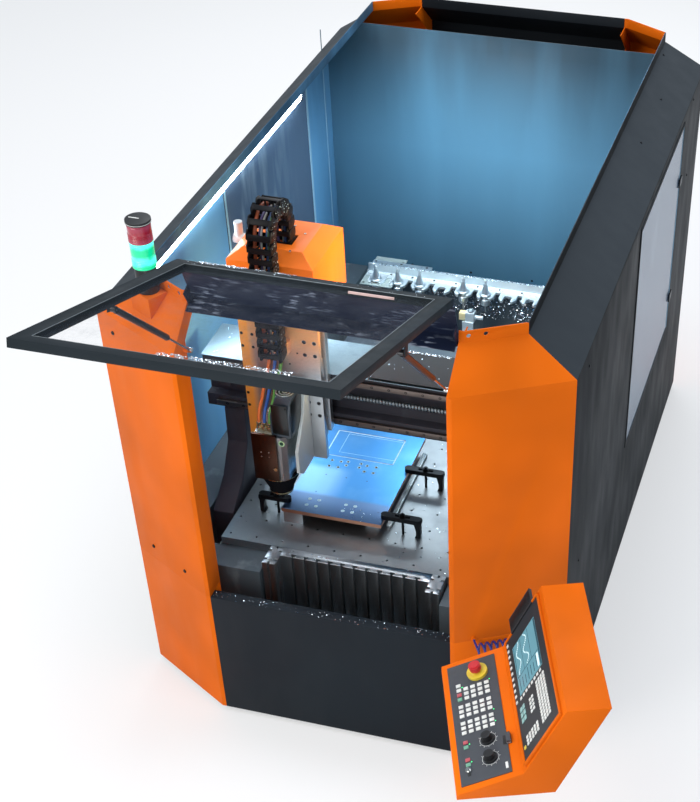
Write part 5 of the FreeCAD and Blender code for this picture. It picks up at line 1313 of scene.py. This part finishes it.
@dataclass
class Gantry:
    """The travelling portal: legs, beam, rails, screw, carriage and hood."""

    screw_y: float = -709.0
    screw_z: float = 1015.0
    screw_radius: float = 11.0
    thread_pitch: float = 12.0
    thread_turns: int = 102
    steps_per_turn: int = 14
    rail_face: float = -736.0
    rail_levels: tuple[float, float] = (919.0, 1087.0)
    bolt_pitch: float = 62.7
    hood_top: float = 1618.0

    def build(self, frame: dict) -> None:
        """Dress the nodes, cut the thread and add the fasteners.

        Args:
            frame: the loaded frame.
        """
        soften_all(frame, [
            ("gantry_legs", IRON, "anthracite_paint", Softening.CAST),
            ("gantry_beam", IRON, "cast_grey", Softening.MACHINED),
            ("beam_cover", SHEET_METAL, "grey_sheet", Softening.MACHINED),
            ("x_rails", RAIL_DARK, "steel", Softening.MACHINED),
            ("carriage_plate", ALUMINIUM, "aluminium", Softening.MACHINED),
            ("carriage_cover", LIT_HOOD_ORANGE, "orange_paint", Softening.SHEET),
        ])
        paint_all(frame, {"cable_glands": GLAND_GREY})
        # A near-black sheet over the cover's right part: painted dark reflection.
        mat = Form("beam_cover_dark_sheet")
        mat.block((-52, -729, 1122.6), (672, -529, 1124.4), 0.5)
        mat.piece("gantry", DARK_REFLECTION_MAT, "black_rubber")
        self.thread()
        self.fasteners()
        self.swarf()

    def thread(self) -> None:
        """The ball screw with its round-bottomed helical groove, drawn by one long helical spin."""
        form = Form("screw_thread")
        mesh = form.mesh
        root = self.screw_radius - 2.6
        profile = [(0.0, root), (0.16, root + 0.9), (0.26, self.screw_radius), (0.74, self.screw_radius),
                   (0.84, root + 0.9), (1.0, root)]
        start = -self.thread_pitch * (self.thread_turns + 1) / 2
        verts = [mesh.verts.new((start + share * self.thread_pitch, 0, radius)) for share, radius in profile]
        edges = [mesh.edges.new(pair) for pair in zip(verts, verts[1:])]
        bmesh.ops.spin(mesh, geom=verts + edges, cent=(0, 0, 0), axis=(1, 0, 0),
                       dvec=(self.thread_pitch / self.steps_per_turn, 0, 0), angle=math.tau * self.thread_turns,
                       steps=self.thread_turns * self.steps_per_turn, use_merge=False, use_duplicate=False)
        bmesh.ops.remove_doubles(mesh, verts=mesh.verts, dist=0.01)
        bmesh.ops.recalc_face_normals(mesh, faces=mesh.faces)
        mesh.faces.ensure_lookup_table()
        middle = mesh.faces[len(mesh.faces) // 2]
        if middle.normal.dot(middle.calc_center_median() * Vector((0, 1, 1))) < 0:
            bmesh.ops.reverse_faces(mesh, faces=mesh.faces)
        bmesh.ops.translate(mesh, verts=mesh.verts, vec=(0, self.screw_y, self.screw_z))
        form.piece("ball_screw", GUIDE_STEEL, "steel", 40, ("x_screw",))

    def fasteners(self) -> None:
        """Sunk rail bolts, and the hood's four small screws."""
        form = Form("rail_bolts")
        for level in self.rail_levels:
            row = [(-33.7 + self.bolt_pitch * step, self.rail_face + 1.6, level) for step in range(-9, 11)]
            screw_row(form, row, (0, -1, 0), 5.2, 2.2)
        form.piece("gantry", BLACK_STEEL, "steel")
        form = Form("hood_screws")
        tops = ((-264.3, -670.3), (-316.3, -626.3), (-426, -797), (-273.0, -794.1))
        screw_row(form, [(x, y, self.hood_top) for x, y in tops], (0, 0, 1), 4.2, 2.4)
        form.piece("carriage", CHROME, "steel")

    def swarf(self) -> None:
        """Chips along the rear edge of the beam's cover, and a few before it."""
        form = Form("beam_swarf")
        form.scatter(12, level_spot((-650, -490), (-725, -532), 1123), (3, 7))
        form.scatter(60, level_spot((-40, 660), (-725, -532), 1124.4), (3, 7))
        form.scatter(110, level_spot((30, 200), (-540, -530), 1124.4), (3, 8))
        form.piece("gantry", CHIP_METAL, "aluminium")


@dataclass
class EnergyChain:
    """The cable chain over the hood: links, crossbars and the leads that they carry."""

    middle_x: float = -332.0
    rear_y: float = -718.5
    front_y: float = -883.5
    bend_z: float = 1688.0
    rear_end: float = 1470.0
    front_end: float = 1250.0
    links: int = 23
    half_width: float = 43.0
    half_height: float = 27.0
    plate: float = 5.2
    corner_cut: float = 9.0

    def length(self) -> float:
        """The length along the chain's middle."""
        return (self.bend_z - self.rear_end) + (self.bend_z - self.front_end) + math.pi * self.radius()

    def radius(self) -> float:
        """The bend's radius at the chain's middle."""
        return (self.rear_y - self.front_y) / 2

    def at(self, along: float) -> Matrix:
        """The placement of a point of the chain: X across, Y away from the bend's middle, Z along.

        Args:
            along: the distance from the end in the hood.

        Returns:
            The placement.
        """
        rise, radius = self.bend_z - self.rear_end, self.radius()
        turn = min(max((along - rise) / radius, 0.0), math.pi)
        off = Vector((0, math.cos(turn), math.sin(turn)))
        along_chain = Vector((0, -math.sin(turn), math.cos(turn)))
        extra = min(along - rise, 0.0) + max(along - rise - math.pi * radius, 0.0)
        where = Vector((self.middle_x, (self.rear_y + self.front_y) / 2, self.bend_z))
        where += off * radius + along_chain * extra
        return placed(where, Matrix((Vector((1, 0, 0)), off, along_chain)).transposed().to_4x4())

    def build(self) -> None:
        """Lay the links and the leads."""
        pitch = self.length() / self.links
        link, high, side, cut = Form("link"), self.half_height, self.half_width, self.corner_cut
        for way in (-1, 1):
            for outer, low, top in ((side, -pitch * 0.62, pitch * 0.3), (side - 5.4, -pitch * 0.3, pitch * 0.62)):
                outline = [(low, -high + cut), (low + cut, -high), (top - cut * 0.6, -high), (top, -high + cut),
                           (top, high - cut), (top - cut * 0.6, high), (low + cut, high), (low, high - cut)]
                face = [(way * (outer - self.plate), off, along) for along, off in outline]
                link.prism(face, (way * self.plate, 0, 0), bevel=0.9)
            link.bar((way * (side - 7), 0, 0), (way * (side + 0.4), 0, 0), 7.5, sides=14)
            for low in (-high + 5, high - 11):
                link.block((way * (side - 0.4) - 0.6, low, -3), (way * (side - 0.4) + 0.6, low + 6, 3), 0.4)
        link.block((-side + 4, high - 5.5, -10.5), (side - 4, high - 0.5, 10.5), 1.6)
        link.block((-side + 4, -high + 0.5, -9.5), (side - 4, -high + 5.5, 9.5), 1.6)
        for x in (-13.5, 13.5):
            link.block((x - 1.4, -high + 5, -5), (x + 1.4, high - 5, 5), 0.5)
        chain = Form("chain_links")
        chain.stamp(link, [self.at(pitch * (step + 0.5)) for step in range(self.links)])
        link.mesh.free()
        self.flex(chain.loose(CHAIN_PLASTIC, "black_plastic", 30), ("z_chain",))
        chips, outward = Form("chain_swarf"), facing((1, 0, 0))

        def on_side() -> tuple[Vector, Matrix]:
            """A random place on the chain's right side."""
            spot = Vector((side - 0.4, random.uniform(-20, 20), 0))
            return self.at(random.uniform(self.length() * 0.3, self.length() - 60)) @ spot, outward

        chips.scatter(120, on_side, (2, 6))
        # The chips on the chain's side take the pale frosted finish: painted glints.
        self.flex(chips.loose(FROST, "aluminium"))
        for name, across, off, radius, finish, slot in (
            ("lead_orange", -24, 2, 6.5, LEAD_ORANGE, "orange_rubber"),
            ("lead_purple", -6.5, -6, 5.0, LEAD_PURPLE, "blue_rubber"),
            ("lead_white", 4.0, 4, 3.6, LEAD_WHITE, "white_plastic"),
            ("lead_blue", 19.0, -3, 5.5, LEAD_BLUE, "blue_rubber"),
            ("lead_green", 28.0, 6, 4.0, LEAD_GREEN, "green_rubber"),
        ):
            self.lead(name, across, off, radius, finish)

    def lead(self, name: str, across: float, off: float, radius: float, finish: Finish) -> None:
        """One lead that lies a little loose inside the links.

        Args:
            name: the piece's name.
            across: its place across the chain.
            off: its distance from the chain's middle.
            radius: its radius.
            finish: its jacket.
        """
        steps = 30
        points = []
        for step in range(steps + 1):
            wander = Vector((across + 1.5 * math.sin(step * 0.9 + across), off + 2.5 * math.sin(step * 0.6 + off), 0))
            points.append(self.at(4 + (self.length() - 6) * step / steps) @ wander)
        route = cord_curve(name + "_route", points, radius)
        mesh = bpy.data.meshes.new_from_object(route)
        bpy.data.curves.remove(route.data)
        mesh.materials.clear()
        mesh.materials.append(finish.material())
        made = new_object(name, mesh)
        self.flex(made)

    def flex(self, made: bpy.types.Object, replaces: Sequence[str] = ()) -> None:
        """Fix a piece that runs between the hood and the sliding head: hide the CAD nodes it stands for and bake its
        placement into its mesh.

        Args:
            made: the finished mesh object.
            replaces: the CAD nodes that it stands for.
        """
        if replaces:
            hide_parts(*replaces)
        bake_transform(made)


@dataclass
class SpindleHead:
    """The z slide: plate, bracket, spindle, shield, cowl and the three hoses."""

    hose_radius: float = 6.0
    carriage_x: float = -332.0
    anchor_y: float = -838.0
    anchor_z: float = 1250.0
    port_y: float = -955.0
    port_z: float = 1007.0
    axis_y: float = -921.0
    block_face: float = -990.0
    dot: tuple[float, float] = (-285.0, 974.0)
    plate_face: float = -819.0
    plate_levels: tuple[int, ...] = (1291, 1240, 1046, 994)

    def build(self, frame: dict) -> None:
        """Dress the nodes and run the hoses.

        Args:
            frame: the loaded frame.
        """
        soften_all(frame, [
            ("z_plate", Z_PLATE, "orange_paint", Softening.MACHINED),
            ("spindle_bracket", BRACKET, "cast_grey", Softening.MACHINED),
            ("spindle_shield", BROWN_SHIELD, "aluminium", Softening.MACHINED),
            ("fan_cowl", COWL, "black_plastic", Softening.HOUSING),
        ])
        paint_all(frame, {"spindle_body": ALUMINIUM, "spindle_tool": BLACK_STEEL})
        for name, top_x, low_x, finish, slot in (
            ("hose_orange", -34, -46, HOSE_ORANGE, "orange_rubber"),
            ("hose_blue", -12, -26, HOSE_BLUE, "blue_rubber"),
            ("hose_green", 10, -6, HOSE_GREEN, "green_rubber"),
        ):
            self.hose(name, top_x, low_x, finish)
        self.fittings()
        self.cowl_details()
        self.plate_details()

    def fittings(self) -> None:
        """Push-in fittings where the hoses end, the green dot, and the nose's sleeve and rings."""
        form = Form("port_fittings")
        for x in (-378, -358, -338):
            form.turned([(6.3, 0), (10.2, 0), (10.2, 9), (8.6, 11), (8.6, 26), (7.0, 28), (6.3, 28)],
                        placed((x, self.port_y, 1000)), 24)
            form.bar((x, self.port_y, 996), (x, self.port_y, 1005), 11.4, sides=6)
        form.piece("spindle_slide", BRASS, "chrome")
        form = Form("spindle_dot")
        dot_x, dot_z = self.dot
        form.bar((dot_x, self.block_face, dot_z), (dot_x, self.block_face - 2.6, dot_z), 7.2, sides=24)
        form.piece("spindle_slide", DARK_GREEN, "green_plastic")
        form = Form("spindle_dot_rim")
        form.ring(placed((dot_x, self.block_face - 0.6, dot_z), facing((0, -1, 0))), 11.3, 7.2, 1.4, 32)
        form.piece("spindle_slide", DOT_RIM, "green_plastic")
        axis = placed((self.carriage_x, self.axis_y, 0))
        form = Form("nose_sleeve")
        form.turned([(37, 720.4), (43.6, 720.4), (43.6, 735), (67.4, 787.6), (67.4, 810.4), (60, 810.4)], axis, 48)
        form.piece("spindle_slide", NOSE_BLACK, "black_plastic")
        form = Form("nose_ring")
        form.ring(placed((self.carriage_x, self.axis_y, 800)), 68.6, 60, 4.5, 48)
        form.ring(placed((self.carriage_x, self.axis_y, 724)), 44.6, 41, 5, 40)
        form.bar((-311, -1002, 868), (-311, -1008, 868), 6.6, sides=24)
        form.piece("spindle_slide", BRASS, "steel")

    def cowl_details(self) -> None:
        """The fan cowl's concentric grille, its glossy panels and two screws."""
        form = Form("cowl_grille")
        middle = (-286.5, -917, 1141.6)
        for ring in range(3):
            outer = 33.0 - 11.5 * ring
            form.turned([(outer - 4.2, 0), (outer, 0), (outer - 0.6, 3.4), (outer - 3.6, 3.4), (outer - 4.2, 0)],
                        placed(middle), 40)
        form.piece("spindle_slide", HOLDER, "steel", 30)
        form = Form("cowl_panels")
        form.block((-316, -985.2, 1008), (-257, -982.6, 1128), 1.2)
        form.bar((middle[0], middle[1], 1141.0), (middle[0], middle[1], 1142.8), 35.0, sides=40)
        form.block((-249.6, -972, 1010), (-247.4, -868, 1130), 1.0)
        form.piece("spindle_slide", GLOSS_BLACK, "black_plastic")
        form = Form("cowl_screws")
        screw_row(form, [(-311, -985.2, 1119), (-262, -985.2, 1119)], (0, -1, 0), 3.2, 1.6)
        form.piece("spindle_slide", BLACK_STEEL, "steel")

    def plate_details(self) -> None:
        """Sunk screws in the sliding plate, and the shield's four small ones."""
        form = Form("plate_bores")
        inner, outer = self.plate_face, self.plate_face - 2.4
        for z in self.plate_levels:
            for x in (-469, -430, -240, -203) if z > 1200 else (-469, -240, -203):
                form.bar((x, inner, z), (x, outer, z), 5.6 if x < -400 else 6.6, sides=22)
        for x, z in ((-268, 1242), (-299, 1194)):
            form.bar((x, inner, z), (x, outer, z), 3.4, sides=16)
        form.piece("spindle_slide", HOLE_DARK, "black_plastic")
        rims = Form("plate_bore_rims")
        for z in self.plate_levels:
            for x in (-240, -203):
                rims.ring(placed((x, self.plate_face - 1.8, z), facing((0, -1, 0))), 8.0, 6.5, 0.9, 22)
        rims.piece("spindle_slide", RAIL_STEEL, "steel")
        form = Form("shield_screws")
        pairs = [(x, -1003, z) for x, z in ((-360, 934), (-360, 915), (-331, 936), (-331, 917))]
        screw_row(form, pairs, (0, -1, 0), 2.8, 1.8)
        form.piece("spindle_slide", CHROME, "steel")

    def hose(self, name: str, top_x: float, low_x: float, finish: Finish) -> None:
        """One hose from the cable anchor down to its port.

        Args:
            name: the CAD node.
            top_x: its start across, from the carriage's middle.
            low_x: its end across.
            finish: its jacket.
        """
        start = Vector((self.carriage_x + top_x, self.anchor_y, self.anchor_z))
        end = Vector((self.carriage_x + low_x, self.port_y, self.port_z))
        drop = Vector((0, 0, -52))
        first = start + (end - start) * 0.36 + Vector(((low_x - top_x) * 0.1, 4, 0))
        second = start + (end - start) * 0.62 + Vector((0, -5, 0))
        made = cord_curve(name + "_jacket", [start, start + drop, first, second, end - drop, end], self.hose_radius)
        made.data.materials.append(finish.material())
        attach(made, "spindle_slide")
        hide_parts(name)


@dataclass
class SignalTower:
    """The lamp column on its pedestal."""

    axis_x: float = -577.2
    axis_y: float = -1220.8

    def build(self, frame: dict) -> None:
        """Dress the nodes.

        Args:
            frame: the loaded frame.
        """
        soften_all(frame, [("tower_pedestal", ORANGE, "orange_paint", Softening.SHEET),
                           ("tower_body", BLACK_PLASTIC, "black_plastic", Softening.SHEET)])
        self.lens("green_lens", 1754, 1840, GREEN_LENS, "green_plastic", "tower_green")
        self.lens("red_lens", 1840, 1900, RED_LENS, "red_plastic", "tower_red")
        form = Form("cap_seam")
        form.ring(placed((self.axis_x, self.axis_y, 1903.6)), 40.5, 38, 1.6, 40)
        form.block((-30, -2.2, 1911.6), (4, 2.2, 1912.6), 0.4, placed((self.axis_x, self.axis_y, 0)))
        form.piece("machine_frame", WHITE_KEY, "white_plastic")

    def lens(self, name: str, low: float, high: float, finish: Finish, slot: str, node: str) -> None:
        """A lamp lens: a bayonet rim at its foot, prism ribs above it, then a clear drum.

        Args:
            name: the piece's name.
            low: its foot's height.
            high: its top's height.
            finish: its plastic.
            slot: the record's material slot; passed on, but not used.
            node: the CAD node that it stands for.
        """
        profile = [(0, low), (37.8, low), (37.8, low + 5), (36.4, low + 6.5)]
        for rib in range(4):
            level = low + 8 + rib * 5.5
            profile += [(36.2, level), (37.6, level + 1.4), (37.6, level + 3.0), (36.2, level + 4.4)]
        profile += [(37.0, low + 32), (37.2, high - 7), (36.0, high - 5.5), (37.8, high - 4), (37.8, high), (0, high)]
        form = Form(name)
        form.turned(profile, placed((self.axis_x, self.axis_y, 0)), 48)
        form.piece("machine_frame", finish, slot, 30, (node,))


@dataclass
class Console:
    """The swivelling operator console: housing, panels, keys, knobs and screen."""

    corner: tuple[float, float, float] = (516.0, -1752.0, 809.0)
    yaw_deg: float = 21.06
    keypad_tilt: float = 19.9
    keypad_run: float = 203.0
    screen_tilt: float = 64.6
    lift: float = 3.0

    def keypad_face(self) -> Matrix:
        """The placement of the keypad's face: X along it, Y along the console, Z off it."""
        return self.whole() @ Matrix.Rotation(math.radians(-self.keypad_tilt), 4, "Y")

    def screen_face(self) -> Matrix:
        """The placement of the screen's face."""
        tilt = math.radians(self.keypad_tilt)
        step = Vector((self.keypad_run * math.cos(tilt), 0, self.keypad_run * math.sin(tilt)))
        return self.whole() @ Matrix.Translation(step) @ Matrix.Rotation(math.radians(-self.screen_tilt), 4, "Y")

    def whole(self) -> Matrix:
        """The console's own placement."""
        return placed(self.corner, Matrix.Rotation(math.radians(self.yaw_deg), 4, "Z"))

    def build(self, frame: dict) -> None:
        """Dress the nodes and add the keys.

        Args:
            frame: the loaded frame.
        """
        soften(frame, "pendant_housing", ORANGE, "orange_paint", Softening.HOUSING)
        paint_all(frame, {
            "keypad_panel": GREY_PLATE, "screen_panel": SCREEN_PLATE, "display": SCREEN_GLOW,
            "estop_collar": COLLAR_YELLOW, "estop_button": STOP_RED, "feed_knob_rear": BLACK_PLASTIC,
            "feed_knob_front": BLACK_PLASTIC, "key_switch": CHROME, "pendant_arm": DOOR_FRAME,
        })
        self.keypad_caps()
        self.keypad_details()
        self.screen_keys()
        self.screen_picture()
        self.rim()

    def keys(self, name: str, face: Matrix, spots: Iterable[tuple[float, float]], half: tuple[float, float],
             lift: float, finish: Finish, slot: str, height: float = 2.6) -> None:
        """A group of key caps in one colour.

        Args:
            name: the piece's name.
            face: the placement of the face.
            spots: places along it and across it.
            half: half a cap's size along and across.
            lift: where the plate's surface is over the face.
            finish: the caps' finish.
            slot: the record's material slot; passed on, but not used.
            height: how far they stand off the plate.
        """
        form = Form(name)
        for along, side in spots:
            form.block((along - half[0], side - half[1], lift - 0.4), (along + half[0], side + half[1], lift + height),
                       min(0.9, height / 3), face)
        form.piece("console", finish, slot)

    def keypad_details(self) -> None:
        """Key lights, knob scales, the socket's cap and a plain blank plate."""
        face = self.keypad_face()
        lights = Form("key_lights")
        for along, side in ((58, -121), (146, -121), (91, -216), (146, -250), (146, -298), (58, -357), (58, -427)):
            lights.bar(face @ Vector((along, side, 2.6)), face @ Vector((along, side, 3.7)), 1.9, sides=12)
        lights.piece("console", GREEN_DOT, "green_plastic")
        scales = Form("knob_scales")
        for side in (-361, -435):
            middle = face @ placed((115, side, 2.9))
            scales.ring(middle, 25.6, 24.6, 0.5, 40)
            for step in range(11):
                turn = Matrix.Rotation(math.radians(-150 + 30 * step), 4, "Z")
                scales.block((26.6, -0.7, 0), (30.5, 0.7, 0.5), 0.0, middle @ turn)
        scales.piece("console", WHITE_KEY, "white_plastic")
        self.keys("socket_cap", face, [(176.5, -383.5)], (6.5, 17.5), 3, WHITE_KEY, "white_plastic", 4)
        self.keys("socket_frame", face, [(164, -383.5), (46, -461)], (5, 17), 3, BLACK_PLASTIC, "black_plastic", 1)
        self.keys("blank_plate", face, [(160, -480)], (4, 12), 3, WHITE_KEY, "white_plastic", 0.5)

    def screen_keys(self) -> None:
        """The soft keys beside the picture, and the letter and number blocks, all with bare caps."""
        face, lift = self.screen_face(), 5.0
        white = [(35.5, -40 - 24.2 * key) for key in range(11)]
        white += [(62 + 17.4 * key, -288) for key in range(8)]
        white += [(154 + 13.8 * row, -309 - 13.0 * key) for row in range(4) for key in range(13)]
        white += [(106 + 13.8 * row, -334 - 15.4 * key) for row in range(2) for key in range(4)]
        white += [(60 + 15.6 * row, -441 - 13.0 * key) for row in range(5) for key in range(3)]
        self.keys("screen_white_keys", face, white, (5.0, 5.0), lift, WHITE_KEY, "white_plastic", 2.0)
        teal = [(52 + 15 * row, -326 - 22 * key) for row in range(2) for key in range(3)]
        self.keys("screen_teal_keys", face, teal, (6.0, 8.5), lift, TEAL_KEY, "white_plastic", 2.0)
        self.keys("screen_yellow_key", face, [(40, -466)], (5.0, 6.0), lift, YELLOW_KEY, "yellow_plastic", 2.0)
        self.keys("port_flap", face, [(140, 12)], (66, 26), 3, BLACK_PLASTIC, "black_plastic", 6)

    def screen_picture(self) -> None:
        """The picture's panes: a header, a plot with its grid and two curves, and a column of values."""
        face, lift = self.screen_face(), 4.6
        dark, pale = Form("picture_lines"), Form("picture_pale")
        for low, high in (((191, -272), (198, -76)), ((62, -204), (64, -76)), ((150, -204), (151.5, -76)),
                          ((62, -206), (190, -204)), ((104, -204), (105, -76))):
            dark.block((low[0], low[1], lift - 0.3), (high[0], high[1], lift + 0.25), 0.0, face)
        for step in range(7):
            low, high = (68 + 17 * step, -262, lift - 0.3), (70.5 + 17 * step, -214 - 6 * (step % 3), lift + 0.25)
            dark.block(low, high, 0.0, face)
        for phase, middle, swing in ((0.0, 128, 12), (1.4, 84, 9)):
            for step in range(24):
                side = -80 - 5.1 * step
                along = middle + swing * math.sin(step * 0.42 + phase)
                pale.block((along - 2.4, side - 3.0, lift - 0.3), (along + 0.2, side + 3.0, lift + 0.3), 0.0, face)
        pale.block((176, -266, lift - 0.3), (186, -212, lift + 0.25), 0.0, face)
        dark.piece("console", SCREEN_DARK, "screen")
        pale.piece("console", SCREEN_PALE, "screen")

    def rim(self) -> None:
        """The housing's raised lip round the screen's plate."""
        face, form = self.screen_face(), Form("console_lip")
        for low, high in (((20, -521), (27, -13)), ((237, -521), (244, -13)), ((20, -522), (244, -511)),
                          ((20, -19), (244, -12))):
            form.block((low[0], low[1], -3), (high[0], high[1], 8.5), 2.0, face)
        form.piece("console", ORANGE, "orange_paint")

    def keypad_caps(self) -> None:
        """The key caps over the keypad's keys, by colour."""
        face = self.keypad_face()
        columns = [47 + 22.2 * column for column in range(5)]
        white = [(columns[0], -112), (columns[0], -131.4)]
        for first_column, first_side in ((1, -132), (0, -202), (0, -270.5)):
            white += [(columns[c], first_side - 19.4 * row) for row in range(3) for c in range(first_column, 5)]
        groups = (
            ("white_keys", white, WHITE_KEY, "white_plastic"),
            ("red_keys", [(columns[0], -150.8), (columns[0], -348), (columns[0], -417)], RED_KEY, "red_plastic"),
            ("green_keys", [(columns[0], -170.2), (columns[0], -367.4), (columns[0], -436.4)],
             GREEN_KEY, "green_plastic"),
        )
        for name, spots, finish, slot in groups:
            self.keys(name, face, spots, (7.3, 6.3), self.lift + 0.5, finish, slot, 2.7)


@dataclass
class AirHose:
    """The coiled blue air hose on the right front corner."""

    coil_x: float = 504.0
    coil_z: float = 545.0
    radius: float = 30.0
    pitch: float = 22.0
    turns: float = 6.75
    stand_off: float = 44.0
    fitting: float = 12.0
    hose_radius: float = 4.0
    points_per_turn: int = 12

    def build(self, enclosure: Enclosure) -> None:
        """Wind the hose.

        Args:
            enclosure: the housing whose corner panel carries it.
        """
        slope = enclosure.corner_depth / (enclosure.half_width - enclosure.corner_start)
        along = Vector((1, slope, 0)).normalized()
        off = Vector((slope, -1, 0)).normalized()
        face_y = -enclosure.half_depth + (self.coil_x - enclosure.corner_start) * slope
        origin = Vector((self.coil_x, face_y, self.coil_z)) + off * self.stand_off

        def on_coil(turn: float) -> Vector:
            """A point of the coil's centre line after this many turns."""
            angle = math.tau * turn
            radial = Vector((0, 0, 1)) * math.sin(angle) - off * math.cos(angle)
            return origin + along * (self.pitch * turn) + radial * self.radius

        first, last = 0.25, self.turns
        inlet = on_coil(first) - off * (self.stand_off - self.fitting)
        outlet = on_coil(last) - off * (self.stand_off - self.fitting)
        count = round((last - first) * self.points_per_turn)
        winding = [on_coil(first + (last - first) * step / count) for step in range(count + 1)]
        straight = off * 12
        points = [inlet, inlet + straight, *winding, outlet + straight, outlet]
        made = cord_curve("air_hose_coil", points, self.hose_radius)
        made.data.materials.append(AIR_BLUE.material())
        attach(made, "machine_frame")
        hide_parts("air_hose")


# ---- stage --------------------------------------------------------------------------

@dataclass
class Stage:
    """The floor, the light and the camera."""

    camera_at: tuple[float, float, float] = (1.5447, -5.0763, 4.1628)
    camera_turn: tuple[float, float, float] = (48.20, 0.0, 15.38)
    lens: float = 80.04
    shift: tuple[float, float] = (-0.1813, 0.2957)
    floor_half: float = 40.0

    def build(self) -> None:
        """Set up everything that isn't part of the machine."""
        self.camera()
        self.world()
        self.lamps()
        self.floor()
        bpy.context.scene.view_settings.view_transform = "Standard"

    def camera(self) -> None:
        """The camera at the photograph's viewing angle."""
        data = bpy.data.cameras.new("camera")
        data.sensor_fit = "HORIZONTAL"
        data.sensor_width = 36.0
        data.lens = self.lens
        data.shift_x, data.shift_y = self.shift
        data.clip_end = 200.0
        made = new_object("camera", data)
        made.location = self.camera_at
        made.rotation_euler = [math.radians(angle) for angle in self.camera_turn]
        bpy.context.scene.camera = made

    def world(self) -> None:
        """A white surround for the eye, also through the clear sheets, and a softer one as a light."""
        world = bpy.data.worlds.new("studio")
        bpy.context.scene.world = world
        world.use_nodes = True
        tree = world.node_tree
        tree.nodes.clear()
        path = add_node(tree, "ShaderNodeLightPath")
        rays = {0: path.outputs["Is Camera Ray"], 1: path.outputs["Is Transmission Ray"]}
        seen = add_node(tree, "ShaderNodeMath", rays, operation="MAXIMUM")
        sky = add_node(tree, "ShaderNodeBackground", {"Color": linear("#DDE6F0"), "Strength": 0.75})
        white = add_node(tree, "ShaderNodeBackground", {"Color": linear("#FFFFFF"), "Strength": 1.0})
        mixed = add_node(tree, "ShaderNodeMixShader", {0: seen.outputs[0], 1: sky.outputs[0], 2: white.outputs[0]})
        add_node(tree, "ShaderNodeOutputWorld", {"Surface": mixed.outputs[0]})

    def lamps(self) -> None:
        """Large soft lamps round the machine, and three small ones for the hood, the front and the rack."""
        for name, at, aim, size, power, colour, spread in (
            ("key_light", (-3.2, -4.2, 5.2), (0, 0, 0.9), 3.2, 168, "#FFF8F0", 180),
            ("fill_light", (4.6, -2.4, 3.4), (0, 0, 0.8), 3.0, 34, "#F3F7FF", 180),
            ("top_light", (0.3, 0.6, 5.6), (0, 0, 0.6), 2.6, 120, "#F2F7FF", 180),
            ("rear_light", (-1.0, 5.4, 4.0), (0, 0, 1.0), 3.0, 80, "#FFFFFF", 180),
            ("hood_light", (0.5, -0.6, 1.6), (-0.2, -0.68, 1.47), 0.3, 2.3, "#FFDFA8", 60),
            ("front_light", (0.1, -3.5, 1.8), (0, -1.0, 0.45), 0.9, 16, "#FFFFFF", 180),
            ("rack_light", (-0.1, 0.45, 1.55), (-0.1, 0.69, 0.7), 0.5, 9, "#DDF3FF", 180),
        ):
            data = bpy.data.lights.new(name, "AREA")
            data.shape = "SQUARE"
            data.size = size
            data.energy = power
            data.color = linear(colour)[:3]
            data.spread = math.radians(spread)
            made = new_object(name, data)
            made.location = at
            made.rotation_euler = (Vector(aim) - Vector(at)).to_track_quat("-Z", "Y").to_euler()
            made.visible_camera = False

    def floor(self) -> None:
        """A plain pale floor that keeps the machine's shadow."""
        form = bmesh.new()
        bmesh.ops.create_grid(form, x_segments=1, y_segments=1, size=self.floor_half)
        mesh = bpy.data.meshes.new("floor")
        form.to_mesh(mesh)
        form.free()
        material = bpy.data.materials.new("pale_floor")
        material.use_nodes = True
        tree = material.node_tree
        tree.nodes.clear()
        matt = add_node(tree, "ShaderNodeBsdfDiffuse", {"Color": linear("#F4F4F4")})
        pale = add_node(tree, "ShaderNodeEmission", {"Color": linear("#FFFFFF"), "Strength": 1.0})
        path = add_node(tree, "ShaderNodeLightPath")
        seen = add_node(tree, "ShaderNodeMath", {0: path.outputs["Is Camera Ray"], 1: 0.45}, operation="MULTIPLY")
        mixed = add_node(tree, "ShaderNodeMixShader", {0: seen.outputs[0], 1: matt.outputs[0], 2: pale.outputs[0]})
        add_node(tree, "ShaderNodeOutputMaterial", {"Surface": mixed.outputs[0]})
        mesh.materials.append(material)
        new_object("floor", mesh)


def main() -> None:
    """Build the whole scene in order."""
    logging.basicConfig(level=logging.INFO, format="%(name)s: %(message)s")
    random.seed(7)
    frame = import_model()
    Stage().build()
    enclosure = Enclosure()
    enclosure.build(frame)
    Door().build(frame)
    Interior().build(frame)
    Gantry().build(frame)
    EnergyChain().build()
    SpindleHead().build(frame)
    SignalTower().build(frame)
    Console().build(frame)
    AirHose().build(enclosure)


if __name__ == "__main__":
    main()
